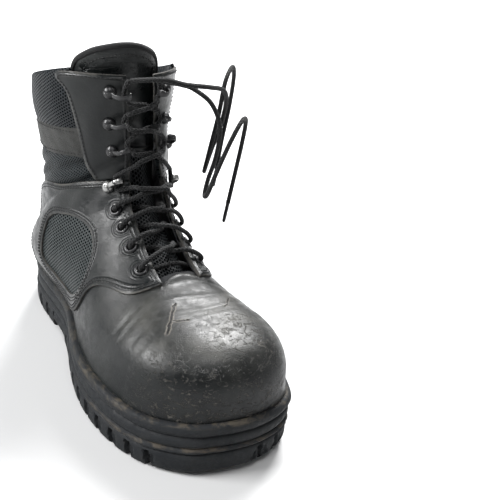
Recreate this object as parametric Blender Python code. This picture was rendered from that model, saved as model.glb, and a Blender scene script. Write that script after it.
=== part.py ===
"""Steel toe work boot, wearer's right foot: toe towards -Y, sole on z = 0, lateral side at -X.

The upper is one smooth surface, drawn as arches that run from the sole edge (and, above the heel,
from the back seam) up to the ridge of the instep.  Every leather, mesh and lining piece is a layer
of that surface trimmed by a flat outline drawn in the side view.
"""
import bpy
import numpy as np

MM = 0.001

# ---- driving dimensions, millimetres ----
OUT_LAT = [(12, -155), (-2, -153), (-17, -148), (-32, -140), (-49, -120), (-57.5, -100), (-62.5, -80),
           (-64.5, -60), (-64, -40), (-61, -20), (-56, 0), (-50, 20), (-46, 40), (-45, 60), (-45, 80),
           (-44, 100), (-39, 120), (-27, 140), (-14, 151), (0, 155)]
OUT_MED = [(12, -155), (27, -153), (38.5, -148), (48, -140), (57.5, -120), (61.5, -100), (62, -80),
           (59.5, -60), (55, -40), (49, -20), (43, 0), (39.5, 20), (38, 40), (38, 60), (39, 80),
           (39, 100), (36, 120), (27, 140), (14, 151), (0, 155)]
RIDGE = [(-106, 89.5), (-105, 89.7), (-104, 90), (-102.5, 90.3), (-98, 91.2), (-89, 93.5),
         (-75, 96.5), (-60, 101), (-46, 107), (-34, 114), (-23, 121.5), (-13, 129.5), (-5, 137.5),
         (2, 145.5), (7, 153), (10, 160), (12, 167), (13, 174), (13, 179), (13, 184), (13, 190),
         (13, 198), (12, 206), (11, 214), (10, 223), (8, 236), (6, 262)]
BACK = [(146, 60), (140, 86), (134, 112), (133, 138), (136, 165), (139, 194), (141, 222)]
SIDE_BULGE = [0, 0, 0, 1, 2, 2, 1, 0, 1, 3, 6, 9, 12, 15, 18, 21, 25, 30, 34, 37, 37, 37, 37, 38,
              42, 46, 48]
ARCH_POWER = [2.7, 2.7, 2.7, 2.7, 2.65, 2.5, 2.25, 2.0, 1.9, 1.85, 1.8, 1.75, 1.7, 1.65, 1.6, 1.55,
              1.5, 1.5, 1.5, 1.5, 1.5, 1.5, 1.5, 1.5, 1.5, 1.5, 1.5]
CHORD_MIX = [0, 0, 0, 0, 0, 0, 0, 0, 0.02, 0.05, 0.1, 0.15, 0.2, 0.28, 0.38, 0.5, 0.65, 0.82, 0.93,
             1, 1, 1, 1, 1, 1, 1, 1]
RIDGE_X = [8, 8, 8, 8, 7, 6, 5, 4, 3, 4, 5, 6, 7, 7.5, 8, 8, 7, 6, 5, 4, 2, 0, -1.5, -3, -4, -5,
           -6]
WIDTH_SCALE = 1.07
HEEL_ROW = 19            # index of the back of the heel in the outlines
FEATHER_INSET = 8.0     # upper's base line in from the sole's outline
FEATHER_Z = 38.0
SOLE_POINTS = 52         # points round the sole
COLS = 8                 # columns of the surface grid on each side
RIM_Z = 41.0             # top of the sole's cup wall
TOE_SPRING = 7.0         # lift of the sole at the toe tip
SPRING_START = -92.0
THROAT = [(60, 2.5, 14), (85, 2.5, 14), (105, 3, 14), (120, 5.5, 14), (135, 7, 13.5), (150, 7.5, 11),
          (165, 6, 9), (180, 3, 8.5), (200, -0.5, 8.5), (220, -3.5, 8.5), (240, -5.5, 8.5),
          (300, -8, 8.5)]     # the gap between the facings: height, its middle, half its width
EYELET_X = 22.0
EYELET_ROWS = [8.4, 9.8, 11.1, 12.4]
FOOT_HOOK_ROW = 14.5
SHAFT_HOOK_ROWS = [19.4, 21.9, 24.3]
HOOK_X = [22.5, 19.5, 19.0, 19.0]
LACE_R = 1.75
ANKLE_AXIS = (0, 75, 122)    # shaft leans forwards and back about X through here
TONGUE_AXIS = (0, 20, 168)   # tongue top folds about X through here

# ---- outlines in the side view (y, z), millimetres ----
BASE = RIM_Z + 0.5
FRONT_EDGE = [(y, BASE + TOE_SPRING * ((SPRING_START - y) / (155 + SPRING_START)) ** 1.8)
              for y in (-165, -155, -147, -140, -132, -124, -116, -108, -100, -92)]
WINDOW = [(80, 58), (77, 82), (71, 106), (46, 115), (24, 112), (9, 99), (3, 82), (7, 66), (22, 57),
          (50, 55)]
MESH_BASE = [(88, 53), (86, 85), (84, 124), (62, 129), (40, 141), (22, 149), (-40, 158.5), (-62, 150),
             (-30, 118), (-10, 96), (-6, 80), (-1, 62), (16, 50), (50, 48)]
QUARTER = [(106, 50), (112, 75), (113, 112), (88, 128), (64, 134), (44, 144), (24, 150.5), (-40, 160),
           (-85, 150), (-54, 112), (-58, 101), (-50, 92), (-24, 90), (-8, 82), (-2, 62), (12, 49),
           (50, 46), (90, 46)]
VAMP = FRONT_EDGE + [(62, BASE), (62, 60), (-6, 60), (-26, 130), (-60, 175), (-200, 175)]
VAMP_THROAT_Y = -50.0
TOE_CUT = FRONT_EDGE + [(-92, BASE), (-98, 130), (-200, 130)]
HEEL_COVER = [(62.6, BASE), (200, BASE), (200, 112), (120, 119), (88.6, 126), (88.6, 45), (62.6, 45)]
FACING = [(-40, 182), (-10, 168), (34, 162), (39, 172), (39, 205), (45, 219), (60, 226), (48, 231),
          (20, 235), (-5, 236), (-40, 236)]
BAND = [(-40, 190), (38.5, 190), (80, 182), (170, 165), (170, 141), (80, 157), (38.5, 166),
        (-40, 166)]
COLLAR_MESH = [(34, 226), (60, 218), (138, 191), (170, 183), (170, 150), (80, 163), (34, 171),
               (-40, 182), (-40, 226)]
ANKLE_MESH = [(-40, 180.4), (34, 169.6), (80, 161.6), (170, 148.6), (170, 116.2), (120, 120),
              (88.6, 127), (62, 130.6), (50, 142), (24, 152), (-40, 162)]
COLLAR_LINING = [(-40, 231), (10, 229), (60, 217), (138, 190), (170, 182), (170, 150), (80, 163),
                 (34, 171), (-40, 182)]
ANKLE_LINING = [(-40, 181), (34, 170.4), (80, 162.4), (170, 149.2), (170, 119.5), (80, 127.6),
                (50, 140.6), (24, 152.6), (-40, 166.6)]
FOOT_LINING = [(-91, BASE), (200, BASE), (200, 116), (80, 127), (50, 140), (24, 152), (-40, 166),
               (-60, 166), (-97, 130)]
TONGUE_LOW = [(-54, 78), (-20, 80), (20, 100), (60, 130), (60, 167), (-60, 167)]
TONGUE_TOP = [(-60, 169.5), (60, 169.5), (60, 262), (-60, 262)]
TONGUE_ARCH = [(-22, 160), (-32, 200), (-41, 222), (-39, 236), (-30, 244), (-18, 248), (-8, 249),
               (2, 248), (14, 244), (22, 236), (25, 222), (29, 200), (33, 160)]
KEEPER = [(-60, 176), (60, 176), (60, 189), (-60, 189)]


def smooth_at(table, k, closed=False):
    """Catmull-Rom value of a table at a fractional index."""
    pts = np.asarray(table, float)
    i = int(np.floor(k))
    f = k - i
    pick = (lambda n: pts[n % len(pts)]) if closed else (lambda n: pts[min(max(n, 0), len(pts) - 1)])
    p0, p1, p2, p3 = (pick(i + n) for n in (-1, 0, 1, 2))
    return 0.5 * (2 * p1 + (p2 - p0) * f + (2 * p0 - 5 * p1 + 4 * p2 - p3) * f ** 2
                  + (3 * p1 - p0 - 3 * p2 + p3) * f ** 3)


LOOP = np.array(OUT_LAT + OUT_MED[-2:0:-1], float) * (WIDTH_SCALE, 1)


def outline_point(k, inset):
    """Point of the sole's outline, moved inwards; k counts from the toe round the lateral side."""
    p = smooth_at(LOOP, k, True)
    d = smooth_at(LOOP, k + 0.05, True) - smooth_at(LOOP, k - 0.05, True)
    d = d / np.hypot(*d)
    return p + np.array([-d[1], d[0]]) * inset * -1


middle = [outline_point(k, 0.0)[0] for k in np.linspace(0, len(LOOP), SOLE_POINTS, endpoint=False)]
LOOP[:, 0] -= (max(middle) + min(middle)) / 2


def rise(y):
    """Toe spring: how far the forefoot is lifted at y."""
    f = np.clip((SPRING_START - np.asarray(y, float)) / (155.0 + SPRING_START), 0, 1.2)
    return TOE_SPRING * f ** 1.8


def surface(side, row, angle):
    """Point of the upper; side -1 is lateral, angle 0 is the sole edge or back seam, pi the ridge."""
    fy, fz = smooth_at(RIDGE, row)
    rx = smooth_at(RIDGE_X, row)
    bulge = max(smooth_at(SIDE_BULGE, row), 0) * WIDTH_SCALE
    power = smooth_at(ARCH_POWER, row)
    mix = min(max(smooth_at(CHORD_MIX, row), 0), 1)
    if row <= HEEL_ROW:
        bx, by = outline_point(row if side < 0 else -row, FEATHER_INSET)
        bz = FEATHER_Z
        if row > HEEL_ROW - 1e-6:
            bx = 0.0
    else:
        line = [(155 - FEATHER_INSET, FEATHER_Z)] + BACK
        bx, (by, bz) = 0.0, smooth_at(line, row - HEEL_ROW)
    half = angle / 2
    g = 1 - max(np.cos(half), 0) ** (2 / power)
    h = max(np.sin(half), 0) ** (2 / power)
    v = (1 - np.cos(angle)) / 2
    g, h = g + (v - g) * mix, h + (v - h) * mix
    y = by + (fy - by) * g
    x = bx + (rx - bx) * g + side * bulge * np.sin(angle) ** (1.35 - 0.35 * mix)
    return np.array([x, y, bz + (fz - bz) * h + rise(y)])


def normal(side, row, angle):
    a, b = min(max(angle - 0.04, 0.01), 3.0), min(angle + 0.04, 3.1)
    du = surface(side, min(row + 0.2, 26), angle) - surface(side, row - 0.2, angle)
    dv = surface(side, row, b) - surface(side, row, a)
    n = np.cross(dv, du) * -side
    return n / np.linalg.norm(n)


def facing_point(side, row, lift, x=EYELET_X):
    """Point on the facing, x from the ridge, lifted off the surface; with the normal there."""
    lo, hi, ridge = 1.2, np.pi, smooth_at(RIDGE_X, row)
    for _ in range(40):
        mid = (lo + hi) / 2
        lo, hi = (mid, hi) if (surface(side, row, mid)[0] - ridge) * side > x else (lo, mid)
    n = normal(side, row, lo)
    return surface(side, row, lo) + n * lift, n


# ---- scene helpers ----
def collection(name):
    made = bpy.data.collections.new(name)
    bpy.context.scene.collection.children.link(made)
    return made


for old in list(bpy.data.objects):
    bpy.data.objects.remove(old, do_unlink=True)
BOOT = collection("steel_toe_work_boot")
CUTTERS = collection("cutters")


def material(name, colour, rough, metal=0.0):
    m = bpy.data.materials.new(name)
    m.use_nodes = True
    b = m.node_tree.nodes["Principled BSDF"]
    b.inputs["Base Color"].default_value = (*colour, 1)
    b.inputs["Roughness"].default_value = rough
    b.inputs["Metallic"].default_value = metal
    m.diffuse_color = (*colour, 1)
    return m


LOOKS = {"leather": ((0.03, 0.032, 0.034), 0.45, 0), "rubber": ((0.035, 0.037, 0.04), 0.8, 0),
         "mesh": ((0.02, 0.026, 0.03), 0.9, 0), "band": ((0.14, 0.13, 0.115), 0.6, 0),
         "metal": ((0.05, 0.05, 0.055), 0.4, 0.9), "steel": ((0.5, 0.5, 0.52), 0.35, 1.0),
         "foam": ((0.05, 0.05, 0.05), 0.95, 0), "lace": ((0.015, 0.015, 0.017), 0.85, 0),
         "board": ((0.35, 0.28, 0.2), 0.9, 0)}


def make_object(name, verts, faces, look=None, group=None):
    mesh = bpy.data.meshes.new(name)
    mesh.from_pydata([tuple(np.asarray(v, float) * MM) for v in verts], [], faces)
    mesh.validate()
    obj = bpy.data.objects.new(name, mesh)
    (group or BOOT).objects.link(obj)
    if look:
        mesh.materials.append(material("mat_" + name, *LOOKS[look]))
    if group is CUTTERS:
        obj.hide_render = True
        obj.display_type = "WIRE"
    return obj


def cut(obj, cutter, operation):
    mod = obj.modifiers.new(cutter.name, "BOOLEAN")
    mod.operation = operation
    mod.solver = "EXACT"
    mod.use_self = operation == "INTERSECT"
    mod.object = cutter


def prism(name, outline, x0, x1, front=False, look=None, group=CUTTERS):
    """Prism: a side-view outline pulled along X, or a front-view one pulled along Y."""
    n = len(outline)
    verts = [(x, y, z) for x in (x0, x1) for y, z in outline]
    if front:
        verts = [(y, -x, z) for x, y, z in verts]
    area = sum(outline[i - 1][0] * outline[i][1] - outline[i][0] * outline[i - 1][1]
               for i in range(n))
    faces = [tuple(range(n))[::-1], tuple(range(n, 2 * n))]
    faces += [(i, (i + 1) % n, n + (i + 1) % n, n + i) for i in range(n)]
    if (area < 0) != (x1 < x0):
        faces = [f[::-1] for f in faces]
    return make_object(name, verts, faces, look, group)


def box(name, lo, hi, look=None, group=CUTTERS):
    (y0, y1), (z0, z1) = (lo[1], hi[1]), (lo[2], hi[2])
    return prism(name, [(y0, z0), (y1, z0), (y1, z1), (y0, z1)], lo[0], hi[0], look=look, group=group)


def rounded(outline, steps=1):
    """Corner-cutting: the outline with its corners rounded."""
    pts = [np.array(p, float) for p in outline]
    for _ in range(steps):
        nxt = []
        for i in range(len(pts)):
            a, b = pts[i], pts[(i + 1) % len(pts)]
            nxt += [a * 0.78 + b * 0.22, a * 0.22 + b * 0.78]
        pts = nxt
    return [tuple(p) for p in pts]


def rod(name, centre, axis, radius, length, group=CUTTERS, look=None, sides=16):
    axis = np.asarray(axis, float) / np.linalg.norm(axis)
    a = np.cross(axis, (0, 1, 0.3))
    a /= np.linalg.norm(a)
    b = np.cross(axis, a)
    verts = []
    for end in (-0.5, 0.5):
        for t in np.linspace(0, 2 * np.pi, sides, endpoint=False):
            verts.append(centre + axis * length * end + radius * (a * np.cos(t) + b * np.sin(t)))
    faces = [tuple(range(sides))[::-1], tuple(range(sides, 2 * sides))]
    faces += [(i, (i + 1) % sides, sides + (i + 1) % sides, sides + i) for i in range(sides)]
    return make_object(name, verts, faces, look, group)


# ---- layers of the upper ----
def relaxed(verts, faces, rounds=6):
    """Even out the surface without shrinking it: steps towards and away from the neighbours."""
    near = {}
    for f in faces:
        for a, b in zip(f, f[1:] + f[:1]):
            near.setdefault(a, []).append(b)
            near.setdefault(b, []).append(a)
    inner = [q for q in near if len(near[q]) == 2 * len(set(near[q]))]
    for step in (0.6, -0.62) * rounds:
        mean = np.array([verts[near[q]].mean(axis=0) for q in inner])
        verts[inner] += (mean - verts[inner]) * step
    return verts


def base_sheet():
    rows = list(range(27))
    angles = np.linspace(0, np.pi, COLS + 1)
    verts, index = [], {}

    def vertex(p):
        key = tuple(np.round(p, 3))
        if key not in index:
            index[key] = len(verts)
            verts.append(p)
        return index[key]

    grid = []
    for r in rows:
        left = [vertex(surface(-1, r, a)) for a in angles]
        right = [vertex(surface(1, r, a)) for a in angles[::-1]]
        grid.append(left + right[1:])
    faces = []
    for i in range(len(rows) - 1):
        for j in range(2 * COLS):
            quad = [grid[i][j], grid[i][j + 1], grid[i + 1][j + 1], grid[i + 1][j]]
            for tri in ((quad[0], quad[1], quad[2]), (quad[0], quad[2], quad[3])):
                if len(set(tri)) == 3:
                    faces.append(tri)
    verts = relaxed(np.array(verts), faces)
    normals = np.zeros_like(verts)
    for f in faces:
        p = verts[list(f)]
        n = np.cross(p[1] - p[0], p[2] - p[0])
        for q in f:
            normals[q] += n
    normals /= np.linalg.norm(normals, axis=1)[:, None]
    top = int(np.argmax(verts[:, 2]))
    if normals[top][1] > 0:
        normals = -normals
        faces = [f[::-1] for f in faces]
    return verts, normals, faces


SHEET = base_sheet()


def layer(name, inner, outer, look, low_corner, high_corner):
    """Closed shell between two distances off the upper's surface, near a box (corners x, y, z)."""
    verts, normals, faces = SHEET
    inside = np.all((verts > low_corner) & (verts < high_corner), axis=1)
    faces = [f for f in faces if inside[list(f)].any()]
    used = sorted({q for f in faces for q in f})
    place = {q: i for i, q in enumerate(used)}
    faces = [tuple(place[q] for q in f) for f in faces]
    verts, normals = verts[used], normals[used]
    n = len(verts)
    low = verts + normals * (inner(verts) if callable(inner) else inner)
    high = verts + normals * (outer(verts) if callable(outer) else outer)
    edges = {}
    for f in faces:
        for a, b in zip(f, f[1:] + f[:1]):
            edges[(a, b)] = True
    walls = [(b, a, a + n, b + n) for a, b in edges if (b, a) not in edges]
    all_faces = [tuple(q + n for q in f) for f in faces] + [f[::-1] for f in faces]
    return make_object(name, list(low) + list(high), all_faces + [w[::-1] for w in walls], look)


def piece(name, inner, outer, look, outline, x0=-90, x1=90, holes=(), keep=None):
    flat = np.array(outline, float)
    low = np.array([x0, *flat.min(axis=0)]) - 6
    high = np.array([x1, *flat.max(axis=0)]) + 6
    obj = layer(name, inner, outer, look, low, high)
    cut(obj, prism("cut_" + name, outline, x0, x1), "INTERSECT")
    if keep:
        cut(obj, keep, "INTERSECT")
    for h in holes:
        cut(obj, h, "DIFFERENCE")
    return obj


def toe_offset(amount):
    """Layer distance that is lower over the toe cap and returns to normal behind it."""
    def at(verts):
        f = np.clip((verts[:, 1] + 100) / 26, 0, 1)
        return (amount[0] + (amount[1] - amount[0]) * f * f * (3 - 2 * f))[:, None]
    return at


SIDES = {"lateral": -1, "medial": 1}


def throat(name, wider, y0, y1):
    """Cutter as wide as the throat and a little more."""
    left = [(mid - half - wider, z) for z, mid, half in THROAT]
    right = [(mid + half + wider, z) for z, mid, half in THROAT]
    return prism(name, left + right[::-1], -y1, -y0, True)


throat_low = throat("cut_throat_low", 1.5, VAMP_THROAT_Y, 60)
throat_all = throat("cut_throat_all", 0.0, -200, 60)
holes = {}
for word, side in SIDES.items():
    for n, row in enumerate(EYELET_ROWS):
        p, axis = facing_point(side, row, 2.0)
        holes[word, n] = rod(f"cut_hole_{word}_{n}", p, axis, 3.6, 14, sides=10)

piece("foot_lining", toe_offset((-1.5, -0.2)), toe_offset((-0.5, 0.9)), "mesh", FOOT_LINING,
      holes=[throat_low] + list(holes.values()))
piece("ankle_lining", -0.2, 0.9, "mesh", ANKLE_LINING, holes=[throat_all])
piece("collar_lining", -0.2, 0.9, "mesh", COLLAR_LINING, holes=[throat_all])
piece("toe_cap_liner", -2.8, -1.9, "foam", TOE_CUT)
piece("steel_toe_cap", -1.6, 0.9, "steel", TOE_CUT)
low_holes = [holes[word, n] for word in SIDES for n in (0, 1)]
mesh_grow = [tuple(np.array(p) + 0.5 * (np.array(p) - (40, 95)) / 60) for p in rounded(MESH_BASE)]
mesh_clear = prism("cut_mesh_clear", mesh_grow, -90, 90)
piece("vamp", 1.2, 2.9, "leather", VAMP, holes=[throat_low, mesh_clear] + low_holes)
piece("heel_counter_cover", 1.2, 2.9, "leather", HEEL_COVER, holes=[mesh_clear])
for word, side in SIDES.items():
    edge = [(mid + side * (half + 0.5), z) for z, mid, half in THROAT]
    half_boot = prism("cut_half_" + word, edge + [(side * 90, 300), (side * 90, 20), (edge[0][0], 20)],
                      -200, 200, True)
    window = prism(f"cut_window_{word}", rounded(WINDOW), side * 5, side * 95)
    own = [holes[word, n] for n in range(4)]
    piece("mesh_panel_" + word, 1.2, 2.9, "mesh", rounded(MESH_BASE), keep=half_boot, holes=own)
    piece("quarter_" + word, 3.5, 5.0, "leather", rounded(QUARTER), keep=half_boot,
          holes=[window] + own)
    piece("facing_" + word, 3.5, 5.0, "leather", rounded(FACING), keep=half_boot)
piece("ankle_mesh", 1.2, 2.9, "mesh", ANKLE_MESH, holes=[throat_all])
piece("collar_mesh", 1.2, 2.9, "mesh", COLLAR_MESH, holes=[throat_all])
front = box("cut_band_front", (-90, -90, 100), (90, 39.8, 300))
piece("reflective_band", 3.5, 4.7, "band", BAND, holes=[front])
piece("tongue_mesh", -8.2, -6.6, "mesh", TONGUE_LOW, -24, 34)
tongue_top = piece("tongue_top", -9.9, -6.3, "leather", TONGUE_TOP, -40, 40)
cut(tongue_top, prism("cut_tongue_arch", TONGUE_ARCH, -60, 60, True), "INTERSECT")
piece("lace_keeper", -5.9, -5.0, "leather", KEEPER, -8, 14)


# ---- sole ----
def ring(z, inset, count):
    pts = [outline_point(k, inset) for k in np.linspace(0, len(LOOP), count, endpoint=False)]
    return [(x, y, z + float(rise(y))) for x, y in pts]


def stack(name, levels, look, count=SOLE_POINTS):
    """Closed solid lofted through rings of the sole's outline: (height, inset) from below up."""
    verts = [p for z, inset in levels for p in ring(z, inset, count)]
    faces = []
    for level in range(len(levels) - 1):
        a, b = level * count, (level + 1) * count
        faces += [(a + i, a + (i + 1) % count, b + (i + 1) % count, b + i) for i in range(count)]
    top = (len(levels) - 1) * count
    for start, flip in ((0, -1), (top, 1)):
        for i in range(count // 2):
            strip = [i, i + 1, (count - i - 1) % count, (count - i) % count][::flip]
            strip = [q for n, q in enumerate(strip) if q != strip[n - 1]]
            faces.append(tuple(start + q for q in strip))
    area = 0.0
    for i in range(count):
        (x0, y0, _), (x1, y1, _) = verts[i], verts[(i + 1) % count]
        area += x0 * y1 - x1 * y0
    if area < 0:
        faces = [f[::-1] for f in faces]
    return make_object(name, verts, faces, look)


outsole = stack("outsole", [(0, 2.5), (3, 0.8), (19, 0), (21, 1.8), (23, 1.8), (24.5, 0.6),
                            (28, 0.8), (29.5, 2.2), (31.5, 2.2), (33, 0.4), (38, 0.4), (RIM_Z, 2.2),
                            (RIM_Z, 10.0), (22, 10.0)], "rubber")
cut(outsole, box("cut_heel_breast", (-80, 34, -5), (80, 66, 7)), "DIFFERENCE")
for n, y in enumerate((-118, -96, -74, -52, -30, -8, 14, 84, 104, 124)):
    for word, side in SIDES.items():
        x = sorted((side * 30.0, side * 80.0))
        cut(outsole, box(f"cut_lug_{word}_{n}", (x[0], y, -5), (x[1], y + 5, 5 + float(rise(y)))),
            "DIFFERENCE")
stack("midsole", [(22.4, 10.6), (34.0, 10.6)], "foam", 48)
cut(bpy.data.objects["midsole"], box("cut_shank", (-9, -27, 31), (9, 77, 50)), "DIFFERENCE")
box("shank", (-8, -26, 31.6), (8, 76, 33.4), "steel", BOOT)
stack("insole_board", [(34.4, 10.6), (36.4, 10.6)], "board", 48)
stack("footbed", [(36.8, 10.9), (40.6, 10.9)], "foam", 48)


# ---- hardware ----
def turned(name, centre, axis, profile, look, sides=16):
    """Closed solid of revolution: profile of (radius, height) about an axis through the centre."""
    axis = np.asarray(axis, float)
    a = np.cross(axis, (0, 1, 0.3))
    a /= np.linalg.norm(a)
    b = np.cross(axis, a)
    verts, rings = [], []
    for radius, height in profile:
        if radius == 0:
            rings.append([len(verts)])
            verts.append(centre + axis * height)
            continue
        rings.append(list(range(len(verts), len(verts) + sides)))
        for t in np.linspace(0, 2 * np.pi, sides, endpoint=False):
            verts.append(centre + axis * height + radius * (a * np.cos(t) + b * np.sin(t)))
    faces = []
    closed = profile[0][0] and profile[-1][0]
    for lo, hi in list(zip(rings, rings[1:])) + ([(rings[-1], rings[0])] if closed else []):
        for i in range(sides):
            j = (i + 1) % sides
            f = [lo[i % len(lo)], lo[j % len(lo)], hi[j % len(hi)], hi[i % len(hi)]]
            f = [q for n, q in enumerate(f) if q != f[n - 1]]
            faces.append(tuple(f))
    return make_object(name, verts, faces, look)


def tube(name, points, radius, look, closed=False):
    curve = bpy.data.curves.new(name, "CURVE")
    curve.dimensions = "3D"
    curve.bevel_depth = radius * MM
    curve.bevel_resolution = 2
    curve.use_fill_caps = True
    spline = curve.splines.new("POLY")
    spline.points.add(len(points) - 1)
    for dot, p in zip(spline.points, points):
        dot.co = (*(np.asarray(p) * MM), 1)
    spline.use_cyclic_u = closed
    obj = bpy.data.objects.new(name, curve)
    BOOT.objects.link(obj)
    curve.materials.append(material("mat_" + name, *LOOKS[look]))
    return obj


def resample(points, step):
    """Smooth line through the points with dots evenly spaced along it."""
    fine = np.array([smooth_at(points, k) for k in np.linspace(0, len(points) - 1, 40 * len(points))])
    run = np.r_[0, np.cumsum(np.linalg.norm(np.diff(fine, axis=0), axis=1))]
    marks = np.linspace(0, run[-1], max(int(run[-1] / step), 2) + 1)
    return np.stack([np.interp(marks, run, fine[:, c]) for c in range(3)], axis=1)


EYELET = [(2.7, -0.3), (3.2, -0.3), (3.2, 5.7), (5.2, 5.7), (4.8, 6.3), (3.5, 6.7), (2.7, 6.3)]
for word, side in SIDES.items():
    for n, row in enumerate(EYELET_ROWS):
        p, axis = facing_point(side, row, 0)
        turned(f"eyelet_{word}_{n + 1}", p, axis, EYELET, "metal", 12)


def hook(name, side, row, x, lift):
    """Speed hook: domed rivet on the facing with an arm that curls back over the throat edge."""
    p, axis = facing_point(side, row, lift, x)
    body = turned(name, p, axis, [(0, 6.0), (4.4, 6.0), (4.4, 6.6), (3.7, 7.8), (2.0, 8.8), (0, 9.1)],
                  "metal", 12)
    edge, _ = facing_point(side, row, 0, x - 11.5)
    away = edge - p
    away -= axis * away.dot(axis)
    away /= np.linalg.norm(away)
    path = [(0.6, 6.8), (3.4, 10.8), (7.6, 13.4), (12.2, 13.2), (14.6, 10.8), (13.9, 8.4)]
    arm = [p + away * s + axis * h for s, h in path]
    flat = np.cross(axis, away)
    verts, faces = [], []
    for i, q in enumerate(arm):
        t = arm[min(i + 1, len(arm) - 1)] - arm[max(i - 1, 0)]
        t /= np.linalg.norm(t)
        up = np.cross(t, flat)
        for sx, sz in ((-1, -1), (1, -1), (1, 1), (-1, 1)):
            verts.append(q + flat * sx * 2.2 + up * sz * 0.7)
    for i in range(len(arm) - 1):
        a, b = 4 * i, 4 * i + 4
        faces += [(a + j, a + (j + 1) % 4, b + (j + 1) % 4, b + j) for j in range(4)]
    end = 4 * len(arm) - 4
    faces += [(3, 2, 1, 0), (end, end + 1, end + 2, end + 3)]
    cutter = make_object("join_" + name, verts, faces, group=CUTTERS)
    cut(body, cutter, "UNION")
    return body


for word, side in SIDES.items():
    for n, row in enumerate([FOOT_HOOK_ROW] + SHAFT_HOOK_ROWS):
        hook(f"hook_{word}_{n + 1}", side, row, HOOK_X[n], 0.0 if n else 1.2)


# ---- laces and edge rolls ----
ROLL_R = 3.4
BINDING_R = 2.0
ON_FACING = (8.9, 7.3, 7.3, 7.3)     # lace centre above the upper, round each hook
REACH = (0.56, 0.95, 0.95, 0.95)     # sideways size of the turn round each hook
SPREADS = (1.15, 0.95, 0.85, 0.85)   # rows the lace comes in below each hook
EXITS = (1.9, 0.95, 0.85, 0.85)      # rows it leaves above each hook
HOOK_ROWS = [FOOT_HOOK_ROW] + SHAFT_HOOK_ROWS
UNDER_FACING = -2.6      # lace centre where it passes between a facing and the tongue


def lace_dot(x, row, lift):
    """Lace centre at a signed x from the ridge, on a row of the upper."""
    side = -1 if x < 0 else 1
    return facing_point(side, row, lift, max(abs(x), 0.3))[0]


def through_eyelet(side, n):
    """Up through an eyelet from beneath and over its rim towards the throat."""
    row = EYELET_ROWS[n]
    return [(EYELET_X * side, row, lift) for lift in (0.0, 6.6)] + \
        [((EYELET_X - 1.6) * side, row, 9.0), ((EYELET_X - 5.2) * side, row + 0.12, 9.4)]


def across(side, row0, row1, upper, dive):
    """From one facing over the throat to the other; dive sends it under the far facing."""
    if not dive:
        rise_by = (9.4, 10.8, 11.6, 10.8, 9.6) if upper else (8.9, 7.2, 6.2, 7.4, 9.2)
        place = ((8.5, 0.14), (4.2, 0.34), (0.0, 0.5), (-4.2, 0.66), (-8.5, 0.86))
        return [(x * side, row0 + (row1 - row0) * f, lift)
                for (x, f), lift in zip(place, rise_by)]
    near = [(12.5, 0.12, 8.8), (8.5, 0.22, 8.4 if upper else 7), (3.5, 0.38, 7.0 if upper else 1.2),
            (0.0, 0.5, 5.6 if upper else 0.0)]
    far = [(-5.0, 0.7, 2.6 if upper else -1.2), (-10.0, 0.85, UNDER_FACING),
           (-17.0, 0.94, UNDER_FACING)]
    return [(x * side, row0 + (row1 - row0) * f, lift) for x, f, lift in near + far]


def round_hook(side, n):
    """U-turn under a hook's arm, from below the hook to above it."""
    row = HOOK_ROWS[n]
    legs = [(10.4, -0.7), (8.8, -0.5), (7.8, 0.0), (8.8, 0.5), (10.4, 0.7)]
    return [((HOOK_X[n] - x * REACH[n]) * side, row + r * (SPREADS if r < 0 else EXITS)[n], ON_FACING[n])
            for x, r in legs]


def half_lace(side, upper):
    """One half of the lacing from the bottom bar up to the last eyelet, ready for the hooks."""
    dots = []
    for n in range(4):
        dots += [(EYELET_X * side, EYELET_ROWS[n], UNDER_FACING)] if n else []
        dots += through_eyelet(side, n)
        if n < 3:
            dots += across(side, EYELET_ROWS[n] + 0.1, EYELET_ROWS[n + 1], upper, True)
            side = -side
    dots += across(side, EYELET_ROWS[3] + 0.1, FOOT_HOOK_ROW - SPREADS[0] * 0.7, upper, False)
    return dots, -side


def to_points(dots):
    return [lace_dot(*d) for d in dots]


ends = {}
for word, start, upper in (("a", -1, True), ("b", 1, False)):
    bar = [(x * start, EYELET_ROWS[0], UNDER_FACING) for x in (1.2, 8, 15, EYELET_X)]
    dots, ends[word] = half_lace(start, upper)
    dots += round_hook(ends[word], 0)[:3]
    tube("lace_lower_" + word, to_points(bar + dots), LACE_R, "lace")
left_side, right_side = ends["a"], ends["b"]

for word, side, upper in (("a", left_side, True), ("b", right_side, False)):
    dots = round_hook(side, 0)[2:]
    for n in (1, 2, 3):
        dots += across(side, HOOK_ROWS[n - 1] + EXITS[n - 1] * 0.7,
                       HOOK_ROWS[n] - SPREADS[n] * 0.7, upper, False)
        side = -side
        turn = round_hook(side, n)
        if n == 1:
            tube("lace_ankle_" + word, resample(to_points(dots + turn[:3]), 5.0)[1:-1], LACE_R,
                 "lace")
            dots = []
            turn = turn[2:]
        dots += turn
    tube("lace_upper_" + word, resample(to_points(dots), 5.0)[1:], LACE_R, "lace")


def on_height(side, angle, lift, height):
    """Point on the upper at an angle round the shaft where height(point) crosses zero."""
    lo, hi = 22.0, 26.0
    for _ in range(40):
        mid = (lo + hi) / 2
        p = surface(side, mid, angle)
        lo, hi = (lo, mid) if height(p) > 0 else (mid, hi)
    return surface(side, lo, angle) + normal(side, lo, angle) * lift


def above_collar(p):
    return p[2] - (191 + (138 - p[1]) * 27 / 78 + 0.8 + ROLL_R)


rolls = [on_height(-1, a, 1.35, above_collar) for a in np.linspace(1.72, 0.12, 12)]
rolls += [on_height(1, a, 1.35, above_collar) for a in np.linspace(0.12, 1.72, 12)]
tube("collar_edge", resample(rolls, 11), ROLL_R, "mesh")


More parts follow.
